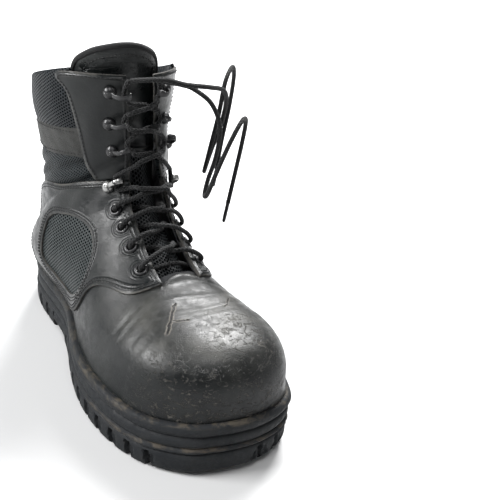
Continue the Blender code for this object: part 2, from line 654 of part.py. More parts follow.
def tongue_point(x, z, lift):
    """Point on the tongue's middle surface at a place in the front view."""
    reach = x + 5
    for _ in range(10):
        lo, hi = 20.0, 26.0
        for _ in range(24):
            mid = (lo + hi) / 2
            p = facing_point(-1 if reach < 0 else 1, mid, lift, max(abs(reach), 0.3))[0]
            lo, hi = (lo, mid) if p[2] > z else (mid, hi)
        reach += (x - p[0]) * 0.8
    return p


binding = []
for x, z in TONGUE_ARCH[2:-2]:
    out = np.array([x + 8, z - 215.0])
    out *= (BINDING_R + 0.6) / np.linalg.norm(out)
    binding.append(tongue_point(x + out[0], z + out[1], -7.8))
tube("tongue_binding", resample(binding, 6), BINDING_R, "mesh")


# ---- free ends of the lace: a loose bow outside the medial collar ----
FREE_LATERAL = [(-6, -5, 235), (5, -10, 236), (20, -14, 233), (38, -16, 231), (54, -10, 226), (66, 3, 212),
          (71, 14, 190), (69, 20, 168), (62, 16, 154), (55, 6, 158), (54, 0, 178), (57, -2, 204),
          (64, 4, 228), (76, 14, 236), (86, 25, 224), (89, 31, 198), (87, 33, 170), (85, 33, 146)]
FREE_MEDIAL = [(12, -3, 232), (22, -4, 230), (31, -6, 227), (42, -14, 218), (50, -16, 200), (52, -12, 176),
          (49, -9, 156), (44, -14, 146), (40, -24, 152), (42, -30, 172), (50, -31, 194),
          (61, -27, 208), (72, -17, 204), (77, -9, 184), (77, -5, 158), (75, -3, 130)]
for word, line in (("a", FREE_MEDIAL), ("b", FREE_LATERAL)):
    side = 1 if word == "a" else -1
    start = lace_dot(side * (HOOK_X[3] - 10.4), HOOK_ROWS[3] + EXITS[3] * 0.7,
                     ON_FACING[3])
    route = resample([start] + [np.array(p, float) for p in line], 8.0)
    tube("lace_end_" + word, route[1:], LACE_R, "lace")
    last = route[-1] - route[-2]
    last /= np.linalg.norm(last)
    rod("aglet_" + word, route[-1] + last * 9.4, last, 1.6, 18.0, BOOT, "metal", 10)


# ---- joints: an empty on each axis carries the pieces that turn about it ----
def joint_empty(name, place, pieces):
    pivot = bpy.data.objects.new(name, None)
    pivot.empty_display_size = 0.03
    pivot.location = [c * MM for c in place]
    BOOT.objects.link(pivot)
    for piece_name in pieces:
        obj = bpy.data.objects[piece_name]
        obj.parent = pivot
        obj.matrix_parent_inverse.translation = [-c * MM for c in place]
    return pivot


shaft_pieces = ["collar_mesh", "collar_lining", "collar_edge", "reflective_band"]
for word in SIDES:
    shaft_pieces += ["facing_" + word] + [f"hook_{word}_{n}" for n in (2, 3, 4)]
for word in "ab":
    shaft_pieces += ["lace_upper_" + word, "lace_end_" + word, "aglet_" + word]
joint_empty("ankle_flex", ANKLE_AXIS, shaft_pieces)
joint_empty("tongue_fold", TONGUE_AXIS, ["tongue_top", "tongue_binding", "lace_keeper"])
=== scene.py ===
import math
import bpy
import numpy as np
from mathutils import Matrix


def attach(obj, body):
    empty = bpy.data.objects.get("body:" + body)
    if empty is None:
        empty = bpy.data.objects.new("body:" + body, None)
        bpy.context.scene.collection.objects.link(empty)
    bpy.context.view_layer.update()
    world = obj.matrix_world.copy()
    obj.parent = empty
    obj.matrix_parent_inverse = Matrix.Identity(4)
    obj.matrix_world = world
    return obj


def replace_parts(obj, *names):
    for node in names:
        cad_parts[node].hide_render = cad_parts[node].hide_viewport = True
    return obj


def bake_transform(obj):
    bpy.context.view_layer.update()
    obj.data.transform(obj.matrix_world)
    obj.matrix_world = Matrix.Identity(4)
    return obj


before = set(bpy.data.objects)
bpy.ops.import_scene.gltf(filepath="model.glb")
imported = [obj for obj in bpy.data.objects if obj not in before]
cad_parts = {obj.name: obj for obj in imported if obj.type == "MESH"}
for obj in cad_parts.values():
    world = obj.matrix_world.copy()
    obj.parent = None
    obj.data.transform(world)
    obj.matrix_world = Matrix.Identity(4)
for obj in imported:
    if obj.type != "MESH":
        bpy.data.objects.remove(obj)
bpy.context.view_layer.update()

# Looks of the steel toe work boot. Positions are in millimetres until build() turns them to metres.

MM = 0.001
rng = np.random.default_rng(7)

# ======================================================================================
# The upper's surface, as the CAD has it, in millimetres
# ======================================================================================
OUT_LAT = [(12, -155), (-2, -153), (-17, -148), (-32, -140), (-49, -120), (-57.5, -100), (-62.5, -80),
           (-64.5, -60), (-64, -40), (-61, -20), (-56, 0), (-50, 20), (-46, 40), (-45, 60), (-45, 80),
           (-44, 100), (-39, 120), (-27, 140), (-14, 151), (0, 155)]
OUT_MED = [(12, -155), (27, -153), (38.5, -148), (48, -140), (57.5, -120), (61.5, -100), (62, -80),
           (59.5, -60), (55, -40), (49, -20), (43, 0), (39.5, 20), (38, 40), (38, 60), (39, 80),
           (39, 100), (36, 120), (27, 140), (14, 151), (0, 155)]
RIDGE = [(-106, 89.5), (-105, 89.7), (-104, 90), (-102.5, 90.3), (-98, 91.2), (-89, 93.5),
         (-75, 96.5), (-60, 101), (-46, 107), (-34, 114), (-23, 121.5), (-13, 129.5), (-5, 137.5),
         (2, 145.5), (7, 153), (10, 160), (12, 167), (13, 174), (13, 179), (13, 184), (13, 190),
         (13, 198), (12, 206), (11, 214), (10, 223), (8, 236), (6, 262)]
BACK = [(146, 60), (140, 86), (134, 112), (133, 138), (136, 165), (139, 194), (141, 222)]
SIDE_BULGE = [0, 0, 0, 1, 2, 2, 1, 0, 1, 3, 6, 9, 12, 15, 18, 21, 25, 30, 34, 37, 37, 37, 37, 38,
              42, 46, 48]
ARCH_POWER = [2.7, 2.7, 2.7, 2.7, 2.65, 2.5, 2.25, 2.0, 1.9, 1.85, 1.8, 1.75, 1.7, 1.65, 1.6, 1.55,
              1.5, 1.5, 1.5, 1.5, 1.5, 1.5, 1.5, 1.5, 1.5, 1.5, 1.5]
CHORD_MIX = [0, 0, 0, 0, 0, 0, 0, 0, 0.02, 0.05, 0.1, 0.15, 0.2, 0.28, 0.38, 0.5, 0.65, 0.82, 0.93,
             1, 1, 1, 1, 1, 1, 1, 1]
RIDGE_X = [8, 8, 8, 8, 7, 6, 5, 4, 3, 4, 5, 6, 7, 7.5, 8, 8, 7, 6, 5, 4, 2, 0, -1.5, -3, -4, -5,
           -6]
WIDTH_SCALE = 1.07
HEEL_ROW = 19
FEATHER_INSET = 8.0
FEATHER_Z = 38.0
COLS = 8
RIM_Z = 41.0
TOE_SPRING = 7.0
SPRING_START = -92.0
THROAT = [(60, 2.5, 14), (85, 2.5, 14), (105, 3, 14), (120, 5.5, 14), (135, 7, 13.5), (150, 7.5, 11),
          (165, 6, 9), (180, 3, 8.5), (200, -0.5, 8.5), (220, -3.5, 8.5), (240, -5.5, 8.5),
          (300, -8, 8.5)]
EYELET_X = 22.0
EYELET_ROWS = [8.4, 9.8, 11.1, 12.4]
FOOT_HOOK_ROW = 14.5
SHAFT_HOOK_ROWS = [19.4, 21.9, 24.3]
HOOK_X = [22.5, 19.5, 19.0, 19.0]
HOOK_ROWS = [FOOT_HOOK_ROW] + SHAFT_HOOK_ROWS
LACE_R = 1.75
SIDES = {"lateral": -1, "medial": 1}


def smooth_at(table, k, closed=False):
    """Catmull-Rom value of a table at a fractional index."""
    pts = np.asarray(table, float)
    i = int(np.floor(k))
    f = k - i
    pick = (lambda n: pts[n % len(pts)]) if closed else (lambda n: pts[min(max(n, 0), len(pts) - 1)])
    p0, p1, p2, p3 = (pick(i + n) for n in (-1, 0, 1, 2))
    return 0.5 * (2 * p1 + (p2 - p0) * f + (2 * p0 - 5 * p1 + 4 * p2 - p3) * f ** 2
                  + (3 * p1 - p0 - 3 * p2 + p3) * f ** 3)


LOOP = np.array(OUT_LAT + OUT_MED[-2:0:-1], float) * (WIDTH_SCALE, 1)


def outline_point(k, inset):
    """Point of the sole's outline, moved inwards."""
    p = smooth_at(LOOP, k, True)
    d = smooth_at(LOOP, k + 0.05, True) - smooth_at(LOOP, k - 0.05, True)
    d = d / np.hypot(*d)
    return p + np.array([-d[1], d[0]]) * inset * -1


middle = [outline_point(k, 0.0)[0] for k in np.linspace(0, len(LOOP), 52, endpoint=False)]
LOOP[:, 0] -= (max(middle) + min(middle)) / 2


def rise(y):
    f = np.clip((SPRING_START - np.asarray(y, float)) / (155.0 + SPRING_START), 0, 1.2)
    return TOE_SPRING * f ** 1.8


def surface(side, row, angle):
    """Point of the upper; side -1 is lateral, angle 0 is the sole edge or back seam, pi the ridge."""
    fy, fz = smooth_at(RIDGE, row)
    rx = smooth_at(RIDGE_X, row)
    bulge = max(smooth_at(SIDE_BULGE, row), 0) * WIDTH_SCALE
    power = smooth_at(ARCH_POWER, row)
    mix = min(max(smooth_at(CHORD_MIX, row), 0), 1)
    if row <= HEEL_ROW:
        bx, by = outline_point(row if side < 0 else -row, FEATHER_INSET)
        bz = FEATHER_Z
        if row > HEEL_ROW - 1e-6:
            bx = 0.0
    else:
        line = [(155 - FEATHER_INSET, FEATHER_Z)] + BACK
        bx, (by, bz) = 0.0, smooth_at(line, row - HEEL_ROW)
    half = angle / 2
    g = 1 - max(np.cos(half), 0) ** (2 / power)
    h = max(np.sin(half), 0) ** (2 / power)
    v = (1 - np.cos(angle)) / 2
    g, h = g + (v - g) * mix, h + (v - h) * mix
    y = by + (fy - by) * g
    x = bx + (rx - bx) * g + side * bulge * np.sin(angle) ** (1.35 - 0.35 * mix)
    return np.array([x, y, bz + (fz - bz) * h + rise(y)])


def normal(side, row, angle):
    a, b = min(max(angle - 0.04, 0.01), 3.0), min(angle + 0.04, 3.1)
    du = surface(side, min(row + 0.2, 26), angle) - surface(side, row - 0.2, angle)
    dv = surface(side, row, b) - surface(side, row, a)
    n = np.cross(dv, du) * -side
    return n / np.linalg.norm(n)


def facing_point(side, row, lift, x=EYELET_X):
    """Point on the facing, x from the ridge, lifted off the surface; with the normal there."""
    lo, hi, ridge = 1.2, np.pi, smooth_at(RIDGE_X, row)
    for _ in range(40):
        mid = (lo + hi) / 2
        lo, hi = (mid, hi) if (surface(side, row, mid)[0] - ridge) * side > x else (lo, mid)
    n = normal(side, row, lo)
    return surface(side, row, lo) + n * lift, n


def resample(points, step):
    fine = np.array([smooth_at(points, k) for k in np.linspace(0, len(points) - 1, 40 * len(points))])
    run = np.r_[0, np.cumsum(np.linalg.norm(np.diff(fine, axis=0), axis=1))]
    marks = np.linspace(0, run[-1], max(int(run[-1] / step), 2) + 1)
    return np.stack([np.interp(marks, run, fine[:, c]) for c in range(3)], axis=1)


# ======================================================================================
# Node helpers
# ======================================================================================
class Look:
    """A material being built: small wrappers that return output sockets."""

    def __init__(self, name, **values):
        self.mat = bpy.data.materials.new(name)
        self.mat.use_nodes = True
        self.tree = self.mat.node_tree
        self.bsdf = self.tree.nodes["Principled BSDF"]
        coords = self.tree.nodes.new("ShaderNodeTexCoord")
        self.object = coords.outputs["Object"]
        for k, v in values.items():
            self.set(k.replace("_", " "), v)

    def set(self, key, value):
        sock = self.bsdf.inputs[key]
        if hasattr(value, "is_output"):
            self.tree.links.new(value, sock)
        else:
            sock.default_value = (*value, 1) if isinstance(value, tuple) and len(value) == 3 else value

    def put(self, sock, value):
        if hasattr(value, "is_output"):
            self.tree.links.new(value, sock)
        elif isinstance(value, (tuple, list)) and len(value) == 3 and len(sock.default_value) == 4:
            sock.default_value = (*value, 1)
        else:
            sock.default_value = value

    def attribute(self, name="mm"):
        n = self.tree.nodes.new("ShaderNodeAttribute")
        n.attribute_name = name
        return n.outputs["Vector"]

    def parts(self, vector):
        n = self.tree.nodes.new("ShaderNodeSeparateXYZ")
        self.put(n.inputs[0], vector)
        return n.outputs[0], n.outputs[1], n.outputs[2]

    def math(self, op, a, b=None, c=None):
        n = self.tree.nodes.new("ShaderNodeMath")
        n.operation = op
        for s, v in zip(n.inputs, (a, b, c)):
            if v is not None:
                self.put(s, v)
        return n.outputs[0]

    def mul(self, a, b):
        return self.math("MULTIPLY", a, b)

    def add(self, a, b):
        return self.math("ADD", a, b)

    def sub(self, a, b):
        return self.math("SUBTRACT", a, b)

    def size(self, a):
        return self.math("ABSOLUTE", a)

    def scaled(self, vector, x, y, z):
        n = self.tree.nodes.new("ShaderNodeVectorMath")
        n.operation = "MULTIPLY"
        self.put(n.inputs[0], vector)
        n.inputs[1].default_value = (x, y, z)
        return n.outputs[0]

    def noise(self, vector, scale, detail=3.0, rough=0.5, distort=0.0):
        n = self.tree.nodes.new("ShaderNodeTexNoise")
        self.put(n.inputs["Vector"], vector)
        n.inputs["Scale"].default_value = scale
        n.inputs["Detail"].default_value = detail
        n.inputs["Roughness"].default_value = rough
        n.inputs["Distortion"].default_value = distort
        return n.outputs[0]

    def cells(self, vector, scale):
        n = self.tree.nodes.new("ShaderNodeTexVoronoi")
        n.feature = "DISTANCE_TO_EDGE"
        self.put(n.inputs["Vector"], vector)
        n.inputs["Scale"].default_value = scale
        n.inputs["Randomness"].default_value = 1.0
        return n.outputs["Distance"]

    def ramp(self, value, a, b, c=0.0, d=1.0):
        n = self.tree.nodes.new("ShaderNodeMapRange")
        n.interpolation_type = "SMOOTHSTEP"
        for s, v in zip(n.inputs, (value, a, b, c, d)):
            self.put(s, v)
        return n.outputs[0]

    def mix(self, fac, a, b):
        n = self.tree.nodes.new("ShaderNodeMix")
        n.data_type = "RGBA"
        self.put(n.inputs[0], fac)
        self.put(n.inputs[6], a)
        self.put(n.inputs[7], b)
        return n.outputs[2]

    def bump(self, height, distance, below=None, strength=1.0):
        n = self.tree.nodes.new("ShaderNodeBump")
        n.inputs["Strength"].default_value = strength
        n.inputs["Distance"].default_value = distance
        self.put(n.inputs["Height"], height)
        if below is not None:
            self.put(n.inputs["Normal"], below)
        return n.outputs[0]


def leather(name, dark=(0.0022, 0.0031, 0.0036), pale=(0.0075, 0.0088, 0.0085), rough=0.36, grain=1.0,
            crease=0.12, stitch=(2.3,), toe=False):
    k = Look(name)
    p = k.object
    _, _, edge = k.parts(k.attribute())
    big = k.noise(p, 28, 4, 0.6, 0.4)
    mid = k.noise(p, 160, 4, 0.6)
    fine = k.noise(p, 900, 3, 0.6)
    colour = k.mix(k.ramp(big, 0.35, 0.7), dark, pale)
    colour = k.mix(k.ramp(mid, 0.55, 0.8, 0, 0.4), colour, (0.013, 0.0135, 0.0125))
    worn = k.mul(k.ramp(edge, 1.6, 0.0), k.ramp(k.noise(p, 70, 3, 0.7), 0.42, 0.62))
    colour = k.mix(k.mul(worn, 0.75), colour, (0.055, 0.052, 0.045))
    flakes = k.ramp(k.noise(p, 340, 5, 0.75, 0.6), 0.66, 0.74)
    patch = k.ramp(k.noise(p, 22, 2, 0.5), 0.56, 0.7)
    scuff = k.mul(flakes, patch)
    colour = k.mix(k.mul(scuff, 0.7), colour, (0.11, 0.105, 0.095))
    roughness = k.add(k.ramp(mid, 0.3, 0.75, rough - 0.08, rough + 0.16),
                       k.mul(scuff, 0.25))
    pores = k.sub(1.0, k.ramp(k.cells(p, 620), 0.0, 0.09))
    height = k.mul(pores, -0.10 * grain)
    height = k.add(height, k.mul(fine, 0.10 * grain))
    height = k.add(height, k.mul(mid, 0.35))
    wrinkle = k.noise(k.scaled(p, 1.0, 1.0, 2.4), 48, 4, 0.55, 0.7)
    folds = k.size(k.sub(wrinkle, 0.5))
    height = k.add(height, k.mul(k.ramp(folds, 0.0, 0.035, -1.0, 0.0), crease))
    for at in stitch:
        gap = k.size(k.sub(edge, at))
        height = k.add(height, k.ramp(gap, 0.2, 1.3, -1.3, 0.0))
    if toe:
        x, y, z = k.parts(p)
        front = k.ramp(y, -0.085, -0.128)
        low = k.ramp(z, 0.098, 0.06)
        side = k.ramp(x, -0.03, 0.045)
        zone = k.mul(front, k.math("MAXIMUM", low, side))
        flaking = k.noise(k.scaled(p, 1, 1, 1.7), 190, 6, 0.8, 1.2)
        bits = k.ramp(flaking, 0.54, 0.60)
        chips = k.mul(zone, bits)
        colour = k.mix(k.mul(chips, 0.65), colour, (0.105, 0.098, 0.086))
        rim = k.sub(k.ramp(flaking, 0.50, 0.54), bits)
        colour = k.mix(k.mul(k.mul(zone, rim), 0.7), colour,
                       (0.006, 0.006, 0.006))
        height = k.sub(height, k.mul(chips, 1.6))
        roughness = k.add(roughness, k.mul(chips, 0.25))
        # painted highlight: a warm grey sheen painted on the top front of the toe box, where it faces up
        # to the lamps, broken up by the large noise
        painted_toe_sheen = k.mul(k.ramp(y, -0.02, -0.09), k.ramp(z, 0.07, 0.095))
        colour = k.mix(k.mul(painted_toe_sheen, k.ramp(big, 0.35, 0.8, 0.15, 0.7)), colour,
                       (0.075, 0.073, 0.066))
        for a, b, wide in (((-0.030, -0.098), (-0.012, -0.075), 0.0011),
                           ((-0.022, -0.088), (-0.010, -0.094), 0.0008),
                           ((0.020, -0.090), (0.031, -0.080), 0.0006)):
            ax, ay = b[0] - a[0], b[1] - a[1]
            long = math.hypot(ax, ay)
            px, py = k.sub(x, a[0]), k.sub(y, a[1])
            along = k.add(k.mul(px, ax / long), k.mul(py, ay / long))
            off = k.sub(k.mul(px, ay / long),
                         k.mul(py, ax / long))
            off = k.add(off, k.mul(k.sub(mid, 0.5), 0.006))
            on = k.mul(k.ramp(along, 0.0, 0.003), k.ramp(along, long, long - 0.003))
            on = k.mul(on, k.ramp(z, 0.07, 0.08))
            cut = k.mul(on, k.ramp(k.size(off), wide, wide * 0.4))
            lip = k.mul(on, k.ramp(k.size(off), wide * 2.2, wide * 1.2))
            colour = k.mix(k.mul(lip, 0.6), colour, (0.13, 0.12, 0.105))
            colour = k.mix(cut, colour, (0.004, 0.004, 0.004))
            height = k.sub(height, k.mul(cut, 3.0))
    k.set("Base Color", colour)
    k.set("Roughness", roughness)
    k.set("Specular IOR Level", 0.27)
    k.set("Normal", k.bump(height, 0.0003, strength=1.0))
    return k.mat


def raw_edge(name):
    k = Look(name)
    n = k.noise(k.object, 900, 4, 0.7)
    k.set("Base Color", k.mix(k.ramp(n, 0.35, 0.65), (0.006, 0.006, 0.006), (0.05, 0.046, 0.04)))
    k.set("Roughness", 0.85)
    k.set("Normal", k.bump(n, 0.0003))
    return k.mat


def net(name, pitch=2.0, thread=(0.022, 0.028, 0.029), hole=(0.0003, 0.0006, 0.0008), open_at=0.45,
        side_view=False, tilt=0.0):
    """Knitted spacer mesh: round holes on a hexagonal lattice, with twisted threads between."""
    k = Look(name)
    if side_view:
        _, u, v = k.parts(k.scaled(k.object, 1000, 1000, 1000))
    else:
        u, v, _ = k.parts(k.attribute())
    warp = k.noise(k.object, 60, 2, 0.5)
    u = k.add(u, k.mul(k.sub(warp, 0.5), 1.6))
    if tilt:
        u, v = (k.sub(k.mul(u, math.cos(tilt)),
                       k.mul(v, math.sin(tilt))),
                k.add(k.mul(u, math.sin(tilt)),
                       k.mul(v, math.cos(tilt))))
    w = 4 * math.pi / (math.sqrt(3) * pitch)
    waves = []
    for turn in (0.0, 2.0944, 4.18879):
        phase = k.add(k.mul(u, w * math.cos(turn)),
                       k.mul(v, w * math.sin(turn)))
        waves.append(k.math("COSINE", phase))
    total = k.add(k.add(waves[0], waves[1]), waves[2])
    ground = k.ramp(total, open_at + 0.55, open_at - 0.35)
    fibres = k.noise(k.object, 2600, 2, 0.6)
    colour = k.mix(k.ramp(fibres, 0.3, 0.7), tuple(c * 0.55 for c in thread), thread)
    dust = k.ramp(k.noise(k.object, 130, 4, 0.7), 0.55, 0.75, 0, 0.5)
    colour = k.mix(dust, colour, tuple(min(c * 2.2, 1) for c in thread))
    colour = k.mix(ground, hole, colour)
    k.set("Base Color", colour)
    k.set("Roughness", k.add(0.5, k.mul(k.sub(1.0, ground), 0.5)))
    height = k.add(ground, k.mul(fibres, 0.25))
    k.set("Specular IOR Level", k.mul(ground, 0.22))
    k.set("Normal", k.bump(height, 0.0009))
    return k.mat


def textile(name, colour, pale, pitch=0.9, rough=0.8, shine=0.3, band=False):
    """Plain woven cloth."""
    k = Look(name)
    u, v, _ = k.parts(k.attribute())
    w = 2 * math.pi / pitch
    warp = k.math("SINE", k.mul(u, w))
    weft = k.math("SINE", k.mul(v, w))
    weave = k.mul(warp, weft)
    stain = k.noise(k.object, 60, 5, 0.65, 0.4)
    c = k.mix(k.ramp(stain, 0.35, 0.7), colour, pale)
    c = k.mix(k.ramp(weave, -1, 1, 0.0, 0.35), c, tuple(x * 0.4 for x in colour))
    height = k.add(k.mul(weave, 0.4), k.mul(stain, 1.2))
    if band:
        cracks = k.ramp(k.size(k.sub(k.noise(
            k.scaled(k.object, 1, 1, 2.5), 90, 5, 0.7, 1.0), 0.5)), 0.0, 0.02)
        c = k.mix(cracks, (0.03, 0.03, 0.028), c)
        height = k.add(height, cracks)
    k.set("Base Color", c)
    k.set("Roughness", rough)
    k.set("Specular IOR Level", 0.25)
    k.set("Sheen Weight", shine)
    k.set("Normal", k.bump(height, 0.0003))
    return k.mat


def rubber(name):
    k = Look(name)
    p = k.object
    _, y, z = k.parts(p)
    big = k.noise(p, 30, 4, 0.65)
    mid = k.noise(p, 240, 5, 0.7, 0.3)
    colour = k.mix(k.ramp(big, 0.3, 0.7), (0.0075, 0.0088, 0.0105), (0.0135, 0.0148, 0.0162))
    dust = k.mul(k.ramp(k.noise(p, 120, 5, 0.75), 0.5, 0.75), 0.22)
    colour = k.mix(dust, colour, (0.045, 0.041, 0.034))
    lift = k.mul(k.ramp(y, -0.092, -0.155), 0.007)
    h = k.sub(z, lift)
    rim = k.mul(k.ramp(h, 0.0365, 0.0392), k.ramp(y, 0.12, -0.10, 0.1, 0.8))
    rub = k.ramp(k.noise(k.scaled(p, 1, 1, 3), 75, 5, 0.7, 0.5), 0.44, 0.62)
    colour = k.mix(k.mul(k.mul(rim, rub), 0.7), colour, (0.085, 0.072, 0.053))
    rib = k.mul(k.ramp(k.size(k.sub(h, 0.019)), 0.002, 0.0008),
                 k.ramp(y, -0.02, -0.10))
    colour = k.mix(k.mul(k.mul(rib, rub), 0.6), colour, (0.07, 0.057, 0.042))
    pits = k.ramp(k.noise(p, 700, 4, 0.7), 0.62, 0.72)
    colour = k.mix(k.mul(pits, 0.3), colour, (0.03, 0.029, 0.026))
    k.set("Base Color", colour)
    k.set("Roughness", k.ramp(mid, 0.3, 0.7, 0.55, 0.82))
    k.set("Specular IOR Level", 0.2)
    height = k.sub(k.mul(mid, 0.8), k.mul(pits, 0.5))
    k.set("Normal", k.bump(height, 0.0005))
    return k.mat


def braid(name):
    k = Look(name)
    s, a, _ = k.parts(k.attribute())
    w = 2 * math.pi / 2.6
    one = k.math("SINE", k.add(k.mul(s, w), k.mul(a, 4.0)))
    two = k.math("SINE", k.sub(k.mul(s, w), k.mul(a, 4.0)))
    cord_ = k.math("MAXIMUM", one, two)
    fuzz = k.noise(k.object, 2200, 3, 0.7)
    colour = k.mix(k.ramp(cord_, 0.0, 1.0), (0.0008, 0.0008, 0.001), (0.006, 0.0065, 0.007))
    colour = k.mix(k.ramp(fuzz, 0.52, 0.72, 0, 0.5), colour, (0.018, 0.018, 0.019))
    k.set("Base Color", colour)
    k.set("Roughness", 0.75)
    k.set("Specular IOR Level", 0.2)
    k.set("Sheen Weight", 0.08)
    k.set("Normal", k.bump(k.add(cord_, fuzz), 0.00035))
    return k.mat


def metal(name, paint=(0.012, 0.012, 0.013), bare=(0.42, 0.42, 0.41), worn=0.6):
    k = Look(name)
    chip = k.ramp(k.noise(k.object, 420, 4, 0.7), worn, worn + 0.06)
    tone = k.noise(k.object, 1500, 2, 0.5)
    k.set("Base Color", k.mix(chip, paint, k.mix(tone, tuple(c * 0.5 for c in bare), bare)))
    k.set("Metallic", k.ramp(chip, 0, 1, 0.35, 1.0))
    k.set("Roughness", k.ramp(tone, 0.3, 0.7, 0.28, 0.42))
    k.set("Normal", k.bump(tone, 0.0001))
    return k.mat


def plain_cloth(name, colour, scale=1400, rough=0.9):
    k = Look(name)
    n = k.noise(k.object, scale, 4, 0.7)
    m = k.noise(k.object, 60, 4, 0.6)
    k.set("Base Color", k.mix(k.ramp(m, 0.3, 0.7), tuple(c * 0.6 for c in colour), colour))
    k.set("Roughness", rough)
    k.set("Specular IOR Level", 0.2)
    k.set("Sheen Weight", 0.05)
    k.set("Normal", k.bump(n, 0.0004))
    return k.mat


LEATHER = leather("leather_upper", stitch=(2.3, 4.3))
LEATHER_TOE = leather("leather_toe", toe=True, stitch=(), crease=0.1, rough=0.36)
LEATHER_SOFT = leather("leather_facing", grain=0.7, crease=0.12, rough=0.36, stitch=(2.3,))
LEATHER_HEEL = leather("leather_heel", crease=0.12, rough=0.38, stitch=(2.3,))
LEATHER_TONGUE = leather("leather_tongue", stitch=(), crease=0.5, rough=0.33)
RAW = raw_edge("leather_cut_edge")
NET_SIDE = net("mesh_side", 2.6, side_view=True, tilt=0.25)
NET_COLLAR = net("mesh_collar", 2.5, thread=(0.0035, 0.0062, 0.0088), tilt=0.1)
NET_ANKLE = net("mesh_ankle", 2.3, thread=(0.0085, 0.0125, 0.0145))
NET_TONGUE = net("mesh_tongue", 3.0, thread=(0.03, 0.033, 0.035), open_at=0.0)
BAND_LOOK = textile("band_cloth", (0.022, 0.023, 0.0215), (0.038, 0.038, 0.035), 0.8, 0.6, 0.0, True)
LINING = textile("lining_cloth", (0.0025, 0.003, 0.004), (0.006, 0.0065, 0.008), 1.1, shine=0.1)
BINDING = textile("binding_cloth", (0.0015, 0.0016, 0.002), (0.005, 0.005, 0.006), 0.8, shine=0.1)
THREAD = plain_cloth("stitch_thread", (0.018, 0.018, 0.018), 3000, 0.6)
RUBBER = rubber("sole_rubber_look")
BRAID = braid("lace_braid")
RIVET = metal("rivet_black")
RIVET_BARE = metal("rivet_bare", worn=0.42)
STEEL = metal("steel_plate", (0.35, 0.35, 0.36), (0.6, 0.6, 0.6), 0.5)
FOAM = plain_cloth("foam_look", (0.05, 0.05, 0.05))
BOARD = plain_cloth("board_look", (0.30, 0.24, 0.17))
TIP = plain_cloth("lace_tip_look", (0.02, 0.02, 0.022), 900, 0.35)


# ======================================================================================
# Mesh helpers
# ======================================================================================
def build(name, verts, faces, mats, indices=None, mm=None, smooth=True):
    mesh = bpy.data.meshes.new(name)
    mesh.from_pydata((np.asarray(verts, float) * MM).tolist(), [], faces)
    for m in mats:
        mesh.materials.append(m)
    if indices is not None:
        mesh.polygons.foreach_set("material_index", indices)
    if mm is not None:
        attr = mesh.attributes.new("mm", "FLOAT_VECTOR", "POINT")
        attr.data.foreach_set("vector", np.asarray(mm, np.float32).ravel())
    mesh.polygons.foreach_set("use_smooth", [smooth] * len(mesh.polygons))
    obj = bpy.data.objects.new(name, mesh)
    bpy.context.scene.collection.objects.link(obj)
    return obj


def sharp(obj, degrees=40):
    """Keep hard edges crisp on a smooth-shaded mesh."""
    obj.data.set_sharp_from_angle(angle=math.radians(degrees))
    return obj


def tube_mesh(name, points, radius, mat, sides=12, step=0.9, wave=0.0):
    pts = resample(points, step)
    n = len(pts)
    tangent = np.gradient(pts, axis=0)
    tangent /= np.linalg.norm(tangent, axis=1)[:, None]
    side = np.cross(tangent[0], (0.3, 0.2, 1.0))
    verts, mm = [], []
    run = np.r_[0, np.cumsum(np.linalg.norm(np.diff(pts, axis=0), axis=1))]
    for i in range(n):
        side = side - tangent[i] * side.dot(tangent[i])
        side /= np.linalg.norm(side)
        other = np.cross(tangent[i], side)
        for a in np.linspace(0, 2 * np.pi, sides, endpoint=False):
            r = radius * (1 + wave * np.sin(run[i] * 2.4 + 4 * a))
            verts.append(pts[i] + r * (side * np.cos(a) + other * np.sin(a)))
            mm.append((run[i], a, 0))
    faces = []
    for i in range(n - 1):
        for j in range(sides):
            q = (j + 1) % sides
            faces.append((i * sides + j, i * sides + q, (i + 1) * sides + q, (i + 1) * sides + j))
    faces.append(tuple(range(sides))[::-1])
    faces.append(tuple(range((n - 1) * sides, n * sides)))
    return build(name, verts, faces, [mat], mm=mm), pts


# ---- camera ----
def place_camera(place, target, roll, focal):
    place, target = np.array(place, float), np.array(target, float)
    back = place - target
    back /= np.linalg.norm(back)
    right = np.cross((0, 0, 1), back)
    right /= np.linalg.norm(right)
    up = np.cross(back, right)
    r = math.radians(roll)
    axes = np.stack([math.cos(r) * right + math.sin(r) * up,
                     -math.sin(r) * right + math.cos(r) * up, back], axis=1)
    data = bpy.data.cameras.new("photo_camera")
    data.sensor_width = 36
    data.lens = focal
    data.clip_start = 0.02
    cam = bpy.data.objects.new("photo_camera", data)
    bpy.context.scene.collection.objects.link(cam)
    m = np.eye(4)
    m[:3, :3] = axes
    m[:3, 3] = place * MM
    cam.matrix_world = Matrix(m.tolist())
    bpy.context.scene.camera = cam


CAMERA_PLACE = (-231.8, -425.7, 366.4)
CAMERA_AIM = (51.1, -70.3, 125.4)
CAMERA_ROLL = 8.22      # degrees
CAMERA_LENS = 50.6
place_camera(CAMERA_PLACE, CAMERA_AIM, CAMERA_ROLL, CAMERA_LENS)

# ======================================================================================
# Laces
# ======================================================================================
ON_FACING = (8.9, 7.3, 7.3, 7.3)
SPREADS = (1.15, 0.95, 0.85, 0.85)
EXITS = (1.9, 0.95, 0.85, 0.85)
REACH = (0.56, 0.95, 0.95, 0.95)
UNDER_FACING = -2.6


def lace_dot(x, row, lift):
    side = -1 if x < 0 else 1
    return facing_point(side, row, lift, max(abs(x), 0.3))[0]


def through_eyelet(side, n):
    row = EYELET_ROWS[n]
    return [(EYELET_X * side, row, lift) for lift in (0.0, 6.6)] + \
        [((EYELET_X - 1.6) * side, row, 9.0), ((EYELET_X - 5.2) * side, row + 0.12, 9.4)]


